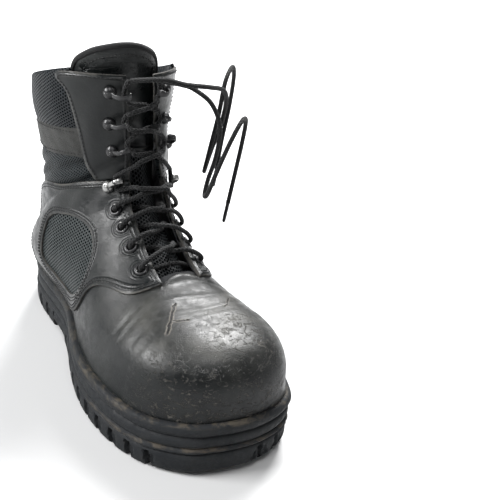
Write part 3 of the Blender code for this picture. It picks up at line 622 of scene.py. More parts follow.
def across(side, row0, row1, upper, dive):
    if not dive:
        rise_by = (9.4, 10.8, 11.6, 10.8, 9.6) if upper else (8.9, 7.2, 6.2, 7.4, 9.2)
        place = ((8.5, 0.14), (4.2, 0.34), (0.0, 0.5), (-4.2, 0.66), (-8.5, 0.86))
        return [(x * side, row0 + (row1 - row0) * f, lift)
                for (x, f), lift in zip(place, rise_by)]
    near = [(12.5, 0.12, 8.8), (8.5, 0.22, 8.4 if upper else 7), (3.5, 0.38, 7.0 if upper else 1.2),
            (0.0, 0.5, 5.6 if upper else 0.0)]
    far = [(-5.0, 0.7, 2.6 if upper else -1.2), (-10.0, 0.85, UNDER_FACING),
           (-17.0, 0.94, UNDER_FACING)]
    return [(x * side, row0 + (row1 - row0) * f, lift) for x, f, lift in near + far]


def round_hook(side, n):
    row = HOOK_ROWS[n]
    legs = [(10.4, -0.7), (8.8, -0.5), (7.8, 0.0), (8.8, 0.5), (10.4, 0.7)]
    return [((HOOK_X[n] - x * REACH[n]) * side, row + r * (SPREADS if r < 0 else EXITS)[n],
             ON_FACING[n]) for x, r in legs]


def to_points(dots):
    return [lace_dot(*d) for d in dots]


for word, start, upper in (("a", -1, True), ("b", 1, False)):
    side = start
    dots = [(x * start, EYELET_ROWS[0], UNDER_FACING) for x in (1.2, 8, 15, EYELET_X)]
    for n in range(4):
        dots += [(EYELET_X * side, EYELET_ROWS[n], UNDER_FACING)] if n else []
        dots += through_eyelet(side, n)
        if n < 3:
            dots += across(side, EYELET_ROWS[n] + 0.1, EYELET_ROWS[n + 1], upper, True)
            side = -side
    dots += across(side, EYELET_ROWS[3] + 0.1, FOOT_HOOK_ROW - SPREADS[0] * 0.7, upper, False)
    side = -side
    dots += round_hook(side, 0)[:3]
    lower, _ = tube_mesh("laces_lower_" + word, to_points(dots), LACE_R, BRAID, wave=0.05)
    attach(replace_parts(lower, "lace_lower_" + word), "foot")
    dots = round_hook(side, 0)[2:]
    for n in (1, 2, 3):
        dots += across(side, HOOK_ROWS[n - 1] + EXITS[n - 1] * 0.7,
                       HOOK_ROWS[n] - SPREADS[n] * 0.7, upper, False)
        side = -side
        turn = round_hook(side, n)
        if n == 1:
            ankle, _ = tube_mesh("laces_ankle_" + word, to_points(dots + turn[:3]), LACE_R, BRAID,
                                 wave=0.05)
            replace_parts(ankle, "lace_ankle_" + word)
            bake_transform(ankle)
            dots = []
            turn = turn[2:]
        dots += turn
    upper_lace, _ = tube_mesh("laces_upper_" + word, to_points(dots), LACE_R, BRAID, wave=0.05)
    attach(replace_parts(upper_lace, "lace_upper_" + word), "shaft")

FREE_LATERAL = [(-6, -5, 235), (5, -10, 236), (20, -14, 233), (38, -16, 231), (54, -10, 226),
                (66, 3, 212), (71, 14, 190), (69, 20, 168), (62, 16, 154), (55, 6, 158), (54, 0, 178),
                (57, -2, 204), (64, 4, 228), (76, 14, 236), (86, 25, 224), (89, 31, 198),
                (87, 33, 170), (85, 33, 146)]
FREE_MEDIAL = [(12, -3, 232), (22, -4, 230), (31, -6, 227), (42, -14, 218), (50, -16, 200),
               (52, -12, 176), (49, -9, 156), (44, -14, 146), (40, -24, 152), (42, -30, 172),
               (50, -31, 194), (61, -27, 208), (72, -17, 204), (77, -9, 184), (77, -5, 158),
               (75, -3, 130)]


def lace_tip(name, start, direction):
    """Crimped tip with a worn, frayed mouth where the braid comes out."""
    direction = direction / np.linalg.norm(direction)
    marks = [(-0.6, 1.9), (0.4, 1.75), (1.2, 1.6), (4, 1.5), (5, 1.62), (9, 1.5), (10, 1.6),
             (16.5, 1.45), (17.8, 1.1), (18.3, 0.5)]
    a = np.cross(direction, (0.2, 1, 0.1))
    a /= np.linalg.norm(a)
    b = np.cross(direction, a)
    verts = [start + direction * s + r * (a * np.cos(t) + b * np.sin(t))
             for s, r in marks for t in np.linspace(0, 2 * np.pi, 16, endpoint=False)]
    faces = [(i * 16 + j, i * 16 + (j + 1) % 16, (i + 1) * 16 + (j + 1) % 16, (i + 1) * 16 + j)
             for i in range(len(marks) - 1) for j in range(16)]
    faces += [tuple(range(16))[::-1], tuple(range(len(verts) - 16, len(verts)))]
    for _ in range(26):
        t = rng.uniform(0, 2 * np.pi)
        out = a * np.cos(t) + b * np.sin(t)
        p = start + out * 1.7 - direction * rng.uniform(0, 2)
        q = p + out * rng.uniform(0.6, 2.0) - direction * rng.uniform(-1.5, 1.5)
        wide = np.cross(out, direction) * 0.09
        i = len(verts)
        verts += [p - wide, p + wide, q]
        faces.append((i, i + 1, i + 2))
    return build(name, verts, faces, [TIP])


for word, line in (("a", FREE_MEDIAL), ("b", FREE_LATERAL)):
    side = 1 if word == "a" else -1
    start = lace_dot(side * (HOOK_X[3] - 10.4), HOOK_ROWS[3] + EXITS[3] * 0.7, ON_FACING[3])
    route = [start] + [np.array(p, float) for p in line]
    free, path = tube_mesh("lace_free_" + word, route, LACE_R, BRAID, wave=0.05)
    last = path[-1] - path[-3]
    tip = lace_tip("lace_tip_" + word, path[-1], last)
    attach(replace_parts(free, "lace_end_" + word), "shaft")
    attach(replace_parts(tip, "aglet_" + word), "shaft")
    run = float(np.linalg.norm(np.diff(path, axis=0), axis=1).sum()) * MM

# ======================================================================================
# The fine surface that every leather, mesh and lining piece is cut from
# ======================================================================================
ROW_STEPS, COL_STEPS = 10, 12
SHAFT_ROW = 190          # fine row at the back of the heel, where the shaft's rows start
LEVEL_ROW = 230          # fine row that heights up the surface are counted from
NORMAL_ROW = 200         # fine row used to tell which way the normals point
COLLAR_FRONT_Y = 36      # the padded collar ends here, under the facings


def coarse_grid():
    rows = list(range(27))
    angles = np.linspace(0, np.pi, COLS + 1)
    verts, index, grid = [], {}, []

    def vertex(p):
        key = tuple(np.round(p, 3))
        if key not in index:
            index[key] = len(verts)
            verts.append(p)
        return index[key]

    for r in rows:
        left = [vertex(surface(-1, r, a)) for a in angles]
        right = [vertex(surface(1, r, a)) for a in angles[::-1]]
        grid.append(left + right[1:])
    near = {}
    faces = []
    for i in range(len(rows) - 1):
        for j in range(2 * COLS):
            quad = [grid[i][j], grid[i][j + 1], grid[i + 1][j + 1], grid[i + 1][j]]
            for tri in ((quad[0], quad[1], quad[2]), (quad[0], quad[2], quad[3])):
                if len(set(tri)) == 3:
                    faces.append(tri)
    for f in faces:
        for a, b in zip(f, f[1:] + f[:1]):
            near.setdefault(a, []).append(b)
            near.setdefault(b, []).append(a)
    verts = np.array(verts)
    inner = [q for q in near if len(near[q]) == 2 * len(set(near[q]))]
    for step in (0.6, -0.62) * 6:
        mean = np.array([verts[near[q]].mean(axis=0) for q in inner])
        verts[inner] += (mean - verts[inner]) * step
    return verts[np.array(grid)]


def spread(table, count, steps):
    """Catmull-Rom along the first axis of a table that has one extra row at each end."""
    k = np.arange((count - 1) * steps + 1) / steps
    i = np.minimum(k.astype(int), count - 2)
    f = (k - i)[:, None, None]
    p0, p1, p2, p3 = (table[i + n] for n in range(4))
    return 0.5 * (2 * p1 + (p2 - p0) * f + (2 * p0 - 5 * p1 + 4 * p2 - p3) * f ** 2
                  + (3 * p1 - p0 - 3 * p2 + p3) * f ** 3)


def fine_grid():
    g = coarse_grid()
    left, right = 2 * g[:, 0] - g[:, 1], 2 * g[:, -1] - g[:, -2]
    left[HEEL_ROW:], right[HEEL_ROW:] = g[HEEL_ROW:, -2], g[HEEL_ROW:, 1]
    e = np.concatenate([left[:, None], g, right[:, None]], axis=1)
    e = np.concatenate([e[1][::-1][None], e, (2 * e[-1] - e[-2])[None]], axis=0)
    rows = spread(e, 27, ROW_STEPS)
    pts = spread(rows.transpose(1, 0, 2), 2 * COLS + 1, COL_STEPS).transpose(1, 0, 2)
    du, dv = np.gradient(pts, axis=0), np.gradient(pts, axis=1)
    n = np.cross(dv, du)
    n /= np.maximum(np.linalg.norm(n, axis=2), 1e-9)[..., None]
    mid = pts.shape[1] // 2
    if n[NORMAL_ROW, mid, 1] > 0:
        n = -n
    heel = HEEL_ROW * ROW_STEPS
    seam = n[heel:, 0] + n[heel:, -1]
    seam /= np.linalg.norm(seam, axis=1)[:, None]
    n[heel:, 0] = n[heel:, -1] = seam
    toe = n[0] + n[0][::-1]
    n[0] = toe / np.linalg.norm(toe, axis=1)[:, None]
    return pts, n


P, N = fine_grid()
NR, NC = P.shape[:2]
X, Y, Z = P[..., 0], P[..., 1], P[..., 2]
step_across = np.linalg.norm(np.diff(P, axis=1), axis=2)
girth = np.concatenate([np.zeros((NR, 1)), np.cumsum(step_across, axis=1)], axis=1)
girth -= girth[:, NC // 2][:, None]
step_up = np.linalg.norm(np.diff(P, axis=0), axis=2)
climb = np.concatenate([np.zeros((1, NC)), np.cumsum(step_up, axis=0)], axis=0)
climb -= climb[LEVEL_ROW][None, :]
SAME = np.arange(NR * NC).reshape(NR, NC)      # vertices on a seam share one number
QUADS = np.stack([SAME[:-1, :-1], SAME[:-1, 1:], SAME[1:, 1:], SAME[1:, :-1]], axis=-1).reshape(-1, 4)
SAME[HEEL_ROW * ROW_STEPS:, -1] = SAME[HEEL_ROW * ROW_STEPS:, 0]
SAME[0, NC // 2 + 1:] = SAME[0, :NC // 2][::-1]
SAME = SAME.ravel()
ROWS = np.repeat(np.arange(NR) / ROW_STEPS, NC).reshape(NR, NC)


def rounded(outline, steps=3):
    pts = [np.array(p, float) for p in outline]
    for _ in range(steps):
        nxt = []
        for i in range(len(pts)):
            a, b = pts[i], pts[(i + 1) % len(pts)]
            nxt += [a * 0.78 + b * 0.22, a * 0.22 + b * 0.78]
        pts = nxt
    return pts


def inside(outline, steps=3, u=None, v=None):
    """Signed distance to an outline in the side view, positive inside."""
    u, v = (Y if u is None else u), (Z if v is None else v)
    pts = np.array(rounded(outline, steps) if steps else outline, float)
    best = np.full(u.shape, 1e9)
    odd = np.zeros(u.shape, bool)
    for a, b in zip(pts, np.roll(pts, -1, axis=0)):
        d = b - a
        t = np.clip(((u - a[0]) * d[0] + (v - a[1]) * d[1]) / max(d @ d, 1e-9), 0, 1)
        best = np.minimum(best, np.hypot(u - a[0] - t * d[0], v - a[1] - t * d[1]))
        crosses = (a[1] > v) != (b[1] > v)
        at = a[0] + (v - a[1]) * d[0] / (d[1] if abs(d[1]) > 1e-9 else 1e-9)
        odd ^= crosses & (u < at)
    return np.where(odd, best, -best)


def ease(v):
    v = np.clip(v, 0, 1)
    return v * v * (3 - 2 * v)


throat_z, throat_mid, throat_half = np.array(THROAT, float).T
MID, HALF = np.interp(Z, throat_z, throat_mid), np.interp(Z, throat_z, throat_half)


def beside(side, extra=0.5):
    return side * (X - MID) - HALF - extra


def off_throat(extra):
    return np.abs(X - MID) - HALF - extra


def above_sole(depth=2.0):
    return Z - rise(Y) - RIM_Z + depth


class Cut:
    """Triangles and quads of the fine surface where a field is positive, with cut vertices."""

    def __init__(self, field):
        v = np.where(np.abs(field) < 0.04, 0.04, field).ravel()
        self.keys, self.terms, self.faces = {}, [], []
        positive = v[QUADS] > 0
        for quad in QUADS[positive.all(axis=1)]:
            self.add([self.corner(i) for i in quad])
        mixed = QUADS[positive.any(axis=1) & ~positive.all(axis=1)]
        for q in mixed:
            for tri in ((q[0], q[1], q[2]), (q[0], q[2], q[3])):
                face = []
                for i, j in zip(tri, tri[1:] + tri[:1]):
                    if v[i] > 0:
                        face.append(self.corner(i))
                    if (v[i] > 0) != (v[j] > 0):
                        face.append(self.crossing(i, j, v))
                self.add(face)

    def add(self, face):
        face = [q for n, q in enumerate(face) if q != face[n - 1]]
        if len(face) > 2:
            self.faces.append(tuple(face))

    def corner(self, i):
        i = int(SAME[i])
        if i not in self.keys:
            self.keys[i] = len(self.terms)
            self.terms.append((i, i, 0.0))
        return self.keys[i]

    def crossing(self, i, j, v):
        i, j = sorted((int(i), int(j)))
        key = tuple(sorted((int(SAME[i]), int(SAME[j]))))
        if key not in self.keys:
            self.keys[key] = len(self.terms)
            self.terms.append((i, j, v[i] / (v[i] - v[j])))
        return self.keys[key]

    def take(self, values):
        flat = np.asarray(values, float).reshape(NR * NC, -1)
        i, j, t = (np.array(c) for c in zip(*self.terms))
        t = t[:, None]
        return flat[i.astype(int)] * (1 - t) + flat[j.astype(int)] * t


def shell(name, field, low, high, mats, soft=0.7, hole=None, uv=None):
    """Closed layer of the upper between two distances off the surface, its rim eased over."""
    whole = field if hole is None else np.minimum(field, hole)
    c = Cut(whole)
    full = np.ones((NR, NC))
    base, out = c.take(P), c.take(N)
    out /= np.linalg.norm(out, axis=1)[:, None]
    lo, hi = c.take(full * low)[:, 0], c.take(full * high)[:, 0]
    d = np.maximum(c.take(whole)[:, 0], 0)
    near = (1 - np.clip(d / 1.8, 0, 1)) ** 2
    top = base + out * (hi - soft * near)[:, None]
    bottom = base + out * lo[:, None]
    u, v = uv if uv else (girth, climb)
    mm = np.stack([c.take(u)[:, 0], c.take(v)[:, 0], d], axis=1)
    n = len(base)
    edges = {}
    for f in c.faces:
        for a, b in zip(f, f[1:] + f[:1]):
            edges[(a, b)] = True
    rim = [(a, b) for a, b in edges if (b, a) not in edges]
    faces = [f[::-1] for f in c.faces] + [tuple(q + n for q in f) for f in c.faces]
    walls = [(a, b, b + n, a + n) for a, b in rim]
    index = [0] * len(faces) + [len(mats) - 1] * len(walls)
    obj = build(name, np.concatenate([top, bottom]), faces + walls, mats, index,
                np.concatenate([mm, mm]))
    return sharp(obj, 50)


def contours(field, level):
    """Lines on the fine surface where the field equals a level, as lists of (i, j, t)."""
    v = (field - level).ravel()
    v = np.where(np.abs(v) < 1e-6, 1e-6, v)
    positive = v[QUADS] > 0
    links, terms = {}, {}
    for q in QUADS[positive.any(axis=1) & ~positive.all(axis=1)]:
        for tri in ((q[0], q[1], q[2]), (q[0], q[2], q[3])):
            hit = []
            for i, j in zip(tri, tri[1:] + tri[:1]):
                if (v[i] > 0) != (v[j] > 0):
                    i, j = sorted((int(i), int(j)))
                    key = tuple(sorted((int(SAME[i]), int(SAME[j]))))
                    terms[key] = (i, j, v[i] / (v[i] - v[j]))
                    hit.append(key)
            if len(hit) == 2 and hit[0] != hit[1]:
                links.setdefault(hit[0], []).append(hit[1])
                links.setdefault(hit[1], []).append(hit[0])
    lines, used = [], set()
    for start in sorted(links, key=lambda k: (len(links[k]) > 1, k)):
        if start in used:
            continue
        line, at = [start], start
        used.add(start)
        while True:
            ahead = [k for k in links[at] if k not in used]
            if not ahead:
                break
            at = ahead[0]
            used.add(at)
            line.append(at)
        if len(links[at]) == 2 and start in links[at] and len(line) > 3:
            line.append(start)
        lines.append([terms[k] for k in line])
    return lines


def on_line(line, lift):
    flat_p, flat_n = P.reshape(-1, 3), N.reshape(-1, 3)
    full = (np.ones((NR, NC)) * lift).ravel()
    i, j, t = (np.array(c) for c in zip(*line))
    i, j, t = i.astype(int), j.astype(int), t[:, None]
    n = flat_n[i] * (1 - t) + flat_n[j] * t
    n /= np.linalg.norm(n, axis=1)[:, None]
    h = full[i] * (1 - t[:, 0]) + full[j] * t[:, 0]
    return flat_p[i] * (1 - t) + flat_p[j] * t + n * h[:, None], n


def stitches(name, field, levels, lift, where=None, pitch=3.0, length=2.25, r=0.36):
    """Rows of separate thread stitches that follow a piece's edge."""
    verts, faces = [], []
    for level in levels:
        for line in contours(field, level):
            pts, nrm = on_line(line, lift)
            run = np.r_[0, np.cumsum(np.linalg.norm(np.diff(pts, axis=0), axis=1))]
            if run[-1] < 8:
                continue
            shown = np.ones(len(pts)) if where is None else np.array(
                [min(where.ravel()[int(i)], where.ravel()[int(j)]) > 0 for i, j, _ in line], float)
            for s in np.arange(1, run[-1] - length, pitch):
                if np.interp(s + length / 2, run, shown) < 0.99:
                    continue
                marks = s + length * np.array([0, 0.2, 0.8, 1.0])
                at = np.stack([np.interp(marks, run, pts[:, k]) for k in range(3)], axis=1)
                up = np.array([np.interp(s + length / 2, run, nrm[:, k]) for k in range(3)])
                along = at[3] - at[0]
                along /= max(np.linalg.norm(along), 1e-9)
                outward = np.cross(along, up)
                at[1:3] += up * 0.22
                first = len(verts)
                verts.append(at[0] - up * 0.15)
                for p in at[1:3]:
                    for a in np.linspace(0, 2 * np.pi, 5, endpoint=False):
                        verts.append(p + r * (outward * np.cos(a) + up * np.sin(a)))
                verts.append(at[3] - up * 0.15)
                for q in range(5):
                    w = (q + 1) % 5
                    faces.append((first, first + 1 + w, first + 1 + q))
                    faces.append((first + 1 + q, first + 1 + w, first + 6 + w, first + 6 + q))
                    faces.append((first + 11, first + 6 + q, first + 6 + w))
    return build(name, verts, faces, [THREAD])


# ======================================================================================
# Leather, mesh and lining pieces
# ======================================================================================
WINDOW = [(80, 60), (77, 82), (71, 106), (46, 115), (22, 113), (5, 101), (-2, 84), (2, 69), (18, 60),
          (48, 57)]
QUARTER = [(106, 50), (112, 75), (113, 112), (88, 128), (64, 134), (44, 144), (24, 150.5), (-40, 160),
           (-85, 150), (-54, 112), (-58, 101), (-50, 92), (-24, 90), (-12, 82), (-7, 63), (8, 50),
           (50, 46), (90, 46)]
VAMP = [(-220, 0), (63, 0), (63, 60), (-4, 60), (-26, 130), (-60, 175), (-220, 175)]
HEEL_COVER = [(62, 0), (220, 0), (220, 112), (120, 120.5), (86, 128), (86, 45), (62, 45)]
FACING = [(-60, 154), (-10, 149), (30, 143), (37, 150), (39, 165), (38, 205), (40, 218), (50, 226),
          (44, 231), (20, 235), (-5, 236), (-60, 238)]
BAND = [(20, 191), (38.5, 190), (80, 182), (200, 161), (200, 137), (80, 157), (38.5, 166), (20, 169)]
ANKLE_MESH = [(-60, 184), (34, 169.6), (80, 161.6), (200, 144), (200, 110), (120, 119),
              (88.6, 126), (62, 130.6), (50, 142), (24, 152), (-60, 164)]
TONGUE_LOW = [(-58, 78), (-20, 80), (20, 100), (60, 130), (60, 174), (-60, 174)]
TONGUE_ARCH = [(-22, 150), (-34, 200), (-46, 222), (-46, 237), (-37, 247), (-22, 252), (-9, 253),
               (3, 251), (15, 246), (22, 237), (25, 222), (29, 200), (33, 150)]

window_in = inside(WINDOW)
quarter_in = inside(QUARTER, 2)
heel_in = np.minimum(inside(HEEL_COVER, 0), above_sole())
facing_in = inside(FACING, 3)
band_in = np.minimum(inside(BAND, 0), Y - 36)
ankle_in = inside(ANKLE_MESH, 0)
wander = np.sin(girth / 11.0 + climb / 17.0) + 0.6 * np.sin(girth / 5.3 - climb / 9.0 + 1.3)

holes = np.full((NR, NC), 99.0)
eyelet_places = {}
for word, side in SIDES.items():
    for n, row in enumerate(EYELET_ROWS):
        p, axis = facing_point(side, row, 0)
        eyelet_places[word, n + 1] = (p, axis)
        rel = P - p
        away = rel - (rel @ axis)[..., None] * axis
        gap = np.linalg.norm(away, axis=2) - 3.3
        holes = np.minimum(holes, np.where(np.linalg.norm(rel, axis=2) < 12, gap, 99.0))

vamp_in = np.minimum(inside(VAMP, 0), above_sole())
mouth = np.maximum(off_throat(1.5), -52 - Y - 0.02 * (X - 3) ** 2)
flex = sum(0.9 * np.exp(-((Y - y0 - 3.0 * np.sin(X / 14.0 + y0)) / 2.0) ** 2)
           for y0 in (-84, -72, -61)) * ease((Z - 62) / 25)
cap_step = 0.5 * ease((-90 - Y) / 5)
dents = 0.35 * np.sin(X / 9.0 + Y / 13.0) * np.sin(Z / 8.0 - Y / 15.0)
vamp = shell("vamp_leather", vamp_in, 0.8, 2.9 + cap_step - flex * 0.55 + dents * 0.6,
             [LEATHER_TOE, RAW], hole=mouth)
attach(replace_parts(vamp, "vamp"), "foot")
heel = shell("heel_leather", heel_in, 0.8, 2.9, [LEATHER_HEEL, RAW])
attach(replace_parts(heel, "heel_counter_cover"), "foot")

quarter_fold = 0.7 * np.sin((Y * 0.5 + Z * 0.9) / 6.5 + wander) * ease((Z - 108) / 20) \
    * ease((Y + 30) / 30) * ease(quarter_in / 8)
for word, side in SIDES.items():
    own = beside(side)
    panel_in = np.minimum(window_in + 5, side * (X - 5))
    puff = 0.9 * ease(window_in / 14) + 0.25 * wander * ease(window_in / 5)
    panel = shell("mesh_window_" + word, panel_in, 0.8, 2.9 + puff, [NET_SIDE], soft=0.1)
    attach(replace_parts(panel, "mesh_panel_" + word), "foot")
    field = np.minimum(np.minimum(quarter_in, own), np.maximum(-window_in, 3 - side * X))
    lift = 5.0 + quarter_fold
    quarter = shell("quarter_leather_" + word, field, 2.4, lift, [LEATHER, RAW], hole=holes)
    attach(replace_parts(quarter, "quarter_" + word), "foot")
    sewn = stitches("quarter_stitch_" + word, field, (2.3, 4.3), lift - 0.02, where=holes - 2.0)
    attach(sewn, "foot")
    top_edge = np.interp(Y, [-40, 24, 44, 64], [157.5, 150.0, 144, 134])
    tuck = ease((Z - top_edge + 1.5) / 5)
    facing_hi = 3.0 + 2.0 * tuck + 0.35 * wander * tuck * ease(facing_in / 10)
    field = np.minimum(facing_in, own)
    facing = shell("facing_leather_" + word, field, facing_hi - 2.0, facing_hi, [LEATHER_SOFT, RAW])
    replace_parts(facing, "facing_" + word)
    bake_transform(facing)
    sewn = stitches("facing_stitch_" + word, field, (2.3,), facing_hi - 0.02, where=Z - top_edge - 2)
    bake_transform(sewn)

band_puff = 0.7 * ease(band_in / 8) + 0.3 * np.sin(girth / 7.0) * np.sin(girth / 3.1 + climb / 9.0)
band = shell("band_strip", band_in, 2.6, 4.3 + band_puff, [BAND_LOOK, RAW], soft=0.8)
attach(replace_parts(band, "reflective_band"), "shaft")
sewn = stitches("band_stitch", band_in, (3.0,), 4.3 + band_puff, where=Y - 40, pitch=3.4)
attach(sewn, "shaft")
sewn = stitches("heel_stitch", np.minimum(inside(HEEL_COVER, 0), 113 + 8 - Y), (2.3,), 2.9,
                where=np.minimum(Y - 112, Z - 60))
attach(sewn, "foot")

folds = np.sin(climb / 2.6 + 0.9 * np.sin(girth / 13.0) + 0.25 * wander)
folds = np.sign(folds) * np.abs(folds) ** 0.8
slack = ease((ankle_in + 1) / 5)
ankle_hi = 2.6 + slack * (0.9 + 1.0 * folds + 0.25 * wander)
field = np.minimum(ankle_in + 3.5, off_throat(0.3))
ankle = shell("ankle_net", field, 0.9, ankle_hi, [NET_ANKLE], soft=0.1)
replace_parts(ankle, "ankle_mesh")
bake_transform(ankle)
lining_in = np.minimum(ankle_in + 1.5, off_throat(0.3))
ankle_inner = shell("ankle_inner", lining_in, -1.2, 0.6, [LINING], soft=0.1)
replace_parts(ankle_inner, "ankle_lining")
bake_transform(ankle_inner)

# ---- tongue ----
front_zone = np.minimum(np.minimum(ROWS - 12, 64 - Y), 60 - np.abs(X)) * 4
arch_in = np.minimum(np.minimum(inside(TONGUE_ARCH, 2, X, Z), Z - 168.5), front_zone)
pad = 2.7 * np.sqrt(1 - (1 - np.clip(arch_in / 10, 0, 1)) ** 2)
dimple = 0.5 * np.exp(-((arch_in - 6.5) / 1.2) ** 2) + 0.2 * wander * ease(arch_in / 8)
tongue = shell("tongue_pad", arch_in, -8.1 - pad * 0.8, -8.1 + pad - dimple,
               [LEATHER_TONGUE], soft=0.0)
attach(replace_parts(tongue, "tongue_top"), "tongue")
rims = []
for line in contours(arch_in, 0.9):
    pts, _ = on_line(line, -8.0)
    pts = pts[pts[:, 2] > 196]
    if len(pts) > 20:
        cutat = int(np.argmax(np.linalg.norm(np.diff(pts, axis=0), axis=1)))
        if np.linalg.norm(pts[cutat + 1] - pts[cutat]) > 8:
            pts = np.concatenate([pts[cutat + 1:], pts[:cutat + 1]])
        rims.append(pts)
rim_line = max(rims, key=len)
binding, _ = tube_mesh("tongue_rim", rim_line[::4], 2.3, BINDING, sides=14, step=1.6)
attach(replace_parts(binding, "tongue_binding"), "tongue")
sewn = stitches("tongue_stitch", arch_in, (6.5,), -8.1 + pad - dimple, where=Z - 200)
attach(sewn, "tongue")
low_in = np.minimum(np.minimum(inside(TONGUE_LOW, 0), np.minimum(X + 24, 34 - X)), 60 - Y)
low_in = np.minimum(low_in, (ROWS - 5) * 6)
wave = 0.5 * np.sin(climb / 7.0) + 0.3 * wander
gusset = shell("tongue_net", low_in, -8.6 + wave * 0.6, -7.4 + wave * 0.6, [NET_TONGUE], soft=0.1)
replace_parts(gusset, "tongue_mesh")
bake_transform(gusset)
keeper_in = np.minimum(np.minimum(X + 8, 14 - X), np.minimum(Z - 175, 190 - Z))
keeper_in = np.minimum(keeper_in, front_zone)
keeper = shell("keeper_loop", keeper_in, -6.6 + 0.8 * ease(keeper_in / 6),
               -5.0 + 1.0 * ease(keeper_in / 6), [LEATHER_SOFT, RAW], soft=0.5)
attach(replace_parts(keeper, "lace_keeper"), "tongue")

# ---- padded collar: outside, over the top roll and down the inside ----
def collar_top(y):
    return 191 + (138 - y) * 27 / 78 + 4.0


def line_rows(height):
    """For every column, the row where the surface crosses a slanted height."""
    rows = []
    for c in range(NC):
        g = Z[SHAFT_ROW:, c] - height(Y[SHAFT_ROW:, c])
        k = int(np.argmax(g > 0)) if (g > 0).any() else len(g) - 1
        k = max(k, 1)
        t = g[k - 1] / (g[k - 1] - g[k] + 1e-9)
        rows.append(SHAFT_ROW + k - 1 + min(max(t, 0), 1))
    return np.array(rows)


def at_row(c, r):
    i = min(int(r), NR - 2)
    f = r - i
    n = N[i, c] * (1 - f) + N[i + 1, c] * f
    return P[i, c] * (1 - f) + P[i + 1, c] * f, n / np.linalg.norm(n)


low_out = line_rows(lambda y: np.interp(y, [34, 80, 138, 170], [188, 179, 168, 162]))
top_rows = line_rows(collar_top)
low_in_rows = line_rows(lambda y: np.interp(y, [34, 80, 170], [168, 160, 147]))
kept_columns = {c for c in range(NC) if Y[min(int(top_rows[c]), NR - 1), c] > COLLAR_FRONT_Y}
half_at = NC // 2
ring_columns = [c for c in range(half_at - 1, -1, -1) if c in kept_columns]
ring_columns += [c for c in range(NC - 2, half_at, -1) if c in kept_columns]
verts, mm = [], []
count = 0
for n, c in enumerate(ring_columns):
    profile = []
    r0, r1, r2 = low_out[c], top_rows[c], low_in_rows[c]
    end = min(n, len(ring_columns) - 1 - n)
    swell = 0.35 + 0.65 * ease(end / 10)
    for t in np.linspace(0, 1, 14):
        p, nn = at_row(c, r0 + (r1 - r0) * t)
        h = 2.6 + swell * 3.2 * math.sin(math.pi * min(t * 0.75 + 0.12, 1)) ** 0.8
        profile.append(p + nn * (h - (0.8 if t < 0.05 else 0)))
    top_p, top_n = at_row(c, r1)
    up, _ = at_row(c, min(r1 + 4, NR - 1))
    up = up - top_p
    up /= np.linalg.norm(up)
    centre = top_p + top_n * 1.3
    wide = np.linalg.norm(profile[-1] - centre)
    for a in np.linspace(0.35, math.pi - 0.35, 8):
        profile.append(centre + top_n * wide * math.cos(a) + up * 4.3 * math.sin(a))
    for t in np.linspace(1, 0, 14):
        p, nn = at_row(c, r2 + (r1 - r2) * t)
        h = -0.4 - swell * 3.0 * math.sin(math.pi * min(t * 0.8 + 0.1, 1)) ** 0.8
        profile.append(p + nn * h)
    count = len(profile)
    run = 0.0
    for k, p in enumerate(profile):
        run += np.linalg.norm(p - profile[k - 1]) if k else 0
        verts.append(p)
        mm.append((girth[LEVEL_ROW, c], run, 5.0))
faces = []
for n in range(len(ring_columns) - 1):
    for k in range(count):
        q = (k + 1) % count
        faces.append((n * count + k, n * count + q, (n + 1) * count + q, (n + 1) * count + k))
faces.append(tuple(range(count))[::-1])
faces.append(tuple(range(len(verts) - count, len(verts))))
collar = build("collar_pad", verts, faces, [NET_COLLAR], mm=mm)
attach(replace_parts(collar, "collar_mesh", "collar_lining", "collar_edge"),
        "shaft")


# ======================================================================================
# Sole
# ======================================================================================
RING = 640
ring_k = np.linspace(0, len(LOOP), RING, endpoint=False)
outline_fine = np.array([outline_point(k, 0.0) for k in ring_k])
inward = np.array([outline_point(k, 1.0) for k in ring_k]) - outline_fine
inward /= np.linalg.norm(inward, axis=1)[:, None]
travel = np.r_[0, np.cumsum(np.linalg.norm(np.diff(outline_fine, axis=0), axis=1))]
# The sole's side from the inside of the rim down to the tread: height, distance in from the outline.
PROFILE = [(RIM_Z - 3.0, 10.5), (RIM_Z - 0.6, 9.5), (RIM_Z - 0.2, 6.5), (RIM_Z, 3.6), (40.4, 2.0),
           (39.4, 1.0), (38.0, 0.4), (36.2, 0.2), (34.4, 0.5), (33.0, 1.2), (32.0, 2.3), (31.2, 3.0),
           (30.4, 3.0),
           (29.8, 2.2), (28.8, 1.4), (27.2, 1.0), (24.8, 0.9), (23.2, 1.2), (22.4, 1.9), (21.8, 2.4),
           (21.2, 2.4), (20.7, 1.5), (19.9, 0.6), (18.9, 0.2), (17.9, 0.5), (17.2, 1.2), (16.8, 2.0),
           (16.2, 2.2), (15.6, 1.6), (14.6, 0.9), (13.0, 0.6), (11.4, 0.5), (9.8, 0.5), (8.2, 0.5),
           (6.6, 0.6), (5.0, 0.7), (3.4, 0.9), (2.0, 1.2), (0.9, 1.7), (0.0, 2.6)]


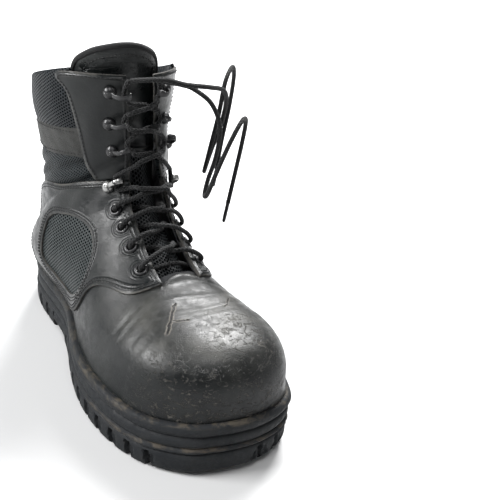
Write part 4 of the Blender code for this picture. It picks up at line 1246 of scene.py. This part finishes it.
def lug_depth(i, z):
    """How far the lug band is cut in at a place round the sole, z above the tread."""
    x, y = outline_fine[i]
    if z > 15.4:
        return 0.0
    front = y < -128 and x < 12
    if front:
        return 0.0
    s = travel[i] / 17.0
    f = s - math.floor(s)
    if 36 < y < 64:
        return 3.0 * float(z < 7)
    depth = 0.0
    if y < -100 and x >= 12:
        t = abs(((travel[i] / 11.0) % 1.0) - 0.5) * 2
        if 3 < z < 13.5 and abs((z - 3) / 10.5 - t) > 0.22 and (z - 3) / 10.5 < t:
            depth = 1.5
    slant = 0.16 * (z / 15.0)
    gap = abs(f - 0.5 - slant)
    if gap < 0.13 and z < 13.2:
        depth = max(depth, 3.6 * (1 - max(gap - 0.09, 0) / 0.04))
    if z < 12.0 and 0.16 < abs(f - slant) % 1.0 < 0.3 and 4 < z:
        depth = max(depth, 0.9)
    return depth


def tread(x, y):
    """Height of the underside above the floor."""
    if 36 < y < 64:
        return 6.5
    row = y / 15.0 + (0.28 if (int(math.floor((x + 200) / 21.0)) % 2) else 0.0) * abs(x) / 30
    row += 0.35 * abs(x) / 25
    f = row - math.floor(row)
    lane = ((x + 210.5) / 21.0) % 1.0
    cut_in = 4.0 * (1 - float(ease((abs(f - 0.5) - 0.08) / 0.07)))
    lane_in = 3.2 * (1 - float(ease((abs(lane - 0.5) - 0.05) / 0.06)))
    return max(cut_in, lane_in)


verts = []
for z, inset in PROFILE:
    for i in range(RING):
        p = outline_fine[i] + inward[i] * (inset + lug_depth(i, z))
        verts.append((p[0], p[1], z + float(rise(p[1]))))
levels = len(PROFILE)
faces = []
for k in range(levels - 1):
    for i in range(RING):
        j = (i + 1) % RING
        faces.append((k * RING + i, k * RING + j, (k + 1) * RING + j, (k + 1) * RING + i))
bottom = (levels - 1) * RING
ACROSS = 44
grid = {}
for i in range(RING // 2 + 1):
    a, b = np.array(verts[bottom + i]), np.array(verts[bottom + (RING - i) % RING])
    for k in range(ACROSS + 1):
        if k == 0:
            grid[i, k] = bottom + i
        elif k == ACROSS:
            grid[i, k] = bottom + (RING - i) % RING
        else:
            p = a + (b - a) * k / ACROSS
            grid[i, k] = len(verts)
            edge_near = min(k, ACROSS - k) / ACROSS * np.linalg.norm(b - a)
            lifted = tread(p[0], p[1]) * min(edge_near / 2.0, 1)
            verts.append((p[0], p[1], float(rise(p[1])) + lifted))
for i in range(RING // 2):
    for k in range(ACROSS):
        face = [grid[i, k], grid[i, k + 1], grid[i + 1, k + 1], grid[i + 1, k]]
        face = [q for n, q in enumerate(face) if q != face[n - 1]]
        if len(face) > 2:
            faces.append(tuple(face[::-1]))
sole = build("sole_unit", verts, faces, [RUBBER])
sharp(sole, 32)
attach(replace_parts(sole, "outsole"), "foot")


# ======================================================================================
# Eyelets and hooks
# ======================================================================================
def turned_mesh(centre, axis, profile, sides):
    axis = np.asarray(axis, float)
    a = np.cross(axis, (0, 1, 0.3))
    a /= np.linalg.norm(a)
    b = np.cross(axis, a)
    verts = [centre + axis * h + r * (a * np.cos(t) + b * np.sin(t)) for r, h in profile
             for t in np.linspace(0, 2 * np.pi, sides, endpoint=False)]
    faces = [(i * sides + j, i * sides + (j + 1) % sides, (i + 1) * sides + (j + 1) % sides,
              (i + 1) * sides + j) for i in range(len(profile) - 1) for j in range(sides)]
    return verts, faces


for (word, n), (p, axis) in eyelet_places.items():
    ring = [(2.7, -0.3), (3.2, -0.3), (3.2, 5.0), (5.0, 5.1), (5.25, 5.4), (5.1, 5.85), (4.6, 6.25),
            (4.0, 6.5), (3.4, 6.5), (2.95, 6.2), (2.7, 5.7), (2.7, -0.3)]
    verts, faces = turned_mesh(p, axis, ring, 28)
    eyelet = build(f"ring_{word}_{n}", verts, faces, [RIVET])
    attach(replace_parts(eyelet, f"eyelet_{word}_{n}"), "foot")

for word, side in SIDES.items():
    for n, row in enumerate(HOOK_ROWS):
        lift = 0.0 if n else 1.2
        p, axis = facing_point(side, row, lift, HOOK_X[n])
        dome = [(0.01, 5.2), (4.7, 5.2), (4.75, 5.6), (4.7, 6.3), (4.5, 6.7), (4.2, 7.2), (3.7, 7.9),
                (3.0, 8.5), (2.0, 8.95), (1.0, 9.15), (0.01, 9.2)]
        verts, faces = turned_mesh(p, axis, dome, 26)
        edge, _ = facing_point(side, row, 0, HOOK_X[n] - 11.5)
        away = edge - p
        away -= axis * away.dot(axis)
        away /= np.linalg.norm(away)
        path = np.array([(0.6, 6.8, 0), (3.4, 10.2, 0), (7.6, 13.0, 0), (12.2, 13.2, 0), (14.6, 10.9, 0),
                         (13.9, 8.4, 0)], float)
        line = [smooth_at(path, k) for k in np.linspace(0, 5, 26)]
        arm = [p + away * s + axis * h for s, h, _ in line]
        cross = np.cross(axis, away)
        first = len(verts)
        for i, q in enumerate(arm):
            t = arm[min(i + 1, len(arm) - 1)] - arm[max(i - 1, 0)]
            t /= np.linalg.norm(t)
            up = np.cross(t, cross)
            f = i / (len(arm) - 1)
            wide = 2.3 - 0.6 * math.sin(math.pi * min(f * 1.3, 1)) + 0.5 * max(f - 0.75, 0)
            if f > 0.92:
                wide *= 0.75
            for a in np.linspace(0, 2 * np.pi, 12, endpoint=False):
                ca, sa = np.cos(a), np.sin(a)
                verts.append(q + cross * wide * np.sign(ca) * abs(ca) ** 0.6
                             + up * 0.75 * np.sign(sa) * abs(sa) ** 0.6)
        for i in range(len(arm) - 1):
            for j in range(12):
                w = (j + 1) % 12
                faces.append((first + i * 12 + j, first + i * 12 + w, first + (i + 1) * 12 + w,
                              first + (i + 1) * 12 + j))
        faces.append(tuple(range(first, first + 12))[::-1])
        faces.append(tuple(range(len(verts) - 12, len(verts))))
        hook = build(f"speed_hook_{word}_{n + 1}", verts, faces, [RIVET_BARE if n == 0 else RIVET])
        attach(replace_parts(hook, f"hook_{word}_{n + 1}"),
                "shaft" if n else "foot")

# ---- CAD nodes that stay, each with a finish of its own ----
for node, look in {"steel_toe_cap": STEEL, "toe_cap_liner": FOAM, "shank": STEEL,
                   "insole_board": BOARD, "midsole": FOAM, "footbed": LINING,
                   "foot_lining": LINING}.items():
    obj = bpy.data.objects[node]
    for s in obj.material_slots:
        s.material = look

# ======================================================================================
# Floor and light
# ======================================================================================
floor_look = Look("floor_look", Roughness=0.9)
floor_look.set("Base Color", floor_look.mix(floor_look.noise(floor_look.object, 3), (0.47, 0.475, 0.48),
                                            (0.50, 0.50, 0.50)))
floor_x, floor_y, _ = floor_look.parts(floor_look.object)
from_boot = floor_look.math("SQRT", floor_look.add(floor_look.mul(floor_x, floor_x),
                                                    floor_look.mul(floor_y, floor_y)))
floor_look.set("Emission Color", (1.0, 1.0, 1.0))
floor_look.set("Emission Strength", floor_look.ramp(from_boot, 0.5, 1.6, 0.0, 0.9))
floor = build("floor", [(-6000, -6000, 0), (6000, -6000, 0), (6000, 6000, 0), (-6000, 6000, 0)],
              [(0, 1, 2, 3)], [floor_look.mat])


def area(name, place, aim, size, power, colour=(1, 1, 1)):
    data = bpy.data.lights.new(name, "AREA")
    data.size = size
    data.energy = power
    data.color = colour
    light = bpy.data.objects.new(name, data)
    bpy.context.scene.collection.objects.link(light)
    back = np.array(place, float) - np.array(aim, float)
    back /= np.linalg.norm(back)
    right = np.cross((0, 0, 1), back)
    right /= np.linalg.norm(right)
    up = np.cross(back, right)
    m = np.eye(4)
    m[:3, :3] = np.stack([right, up, back], axis=1)
    m[:3, 3] = place
    light.matrix_world = Matrix(m.tolist())


area("key", (0.9, 0.8, 1.7), (0, 0, 0.1), 0.8, 120)
area("side", (-1.7, 0.6, 1.2), (0, 0, 0.12), 0.8, 84)
area("top", (-0.5, -0.7, 2.1), (0, -0.05, 0.1), 0.8, 24)
area("fill", (1.6, -1.4, 0.9), (0, 0, 0.1), 1.0, 5)
world = bpy.data.worlds.new("studio")
world.use_nodes = True
nodes, links = world.node_tree.nodes, world.node_tree.links
backdrop = nodes.new("ShaderNodeMapRange")
backdrop.inputs["To Min"].default_value = 0.15
backdrop.inputs["To Max"].default_value = 1.0
links.new(nodes.new("ShaderNodeLightPath").outputs["Is Camera Ray"], backdrop.inputs["Value"])
nodes["Background"].inputs[0].default_value = (0.95, 0.97, 1.0, 1)
links.new(backdrop.outputs[0], nodes["Background"].inputs[1])
bpy.context.scene.world = world
bpy.context.scene.view_settings.view_transform = "Standard"
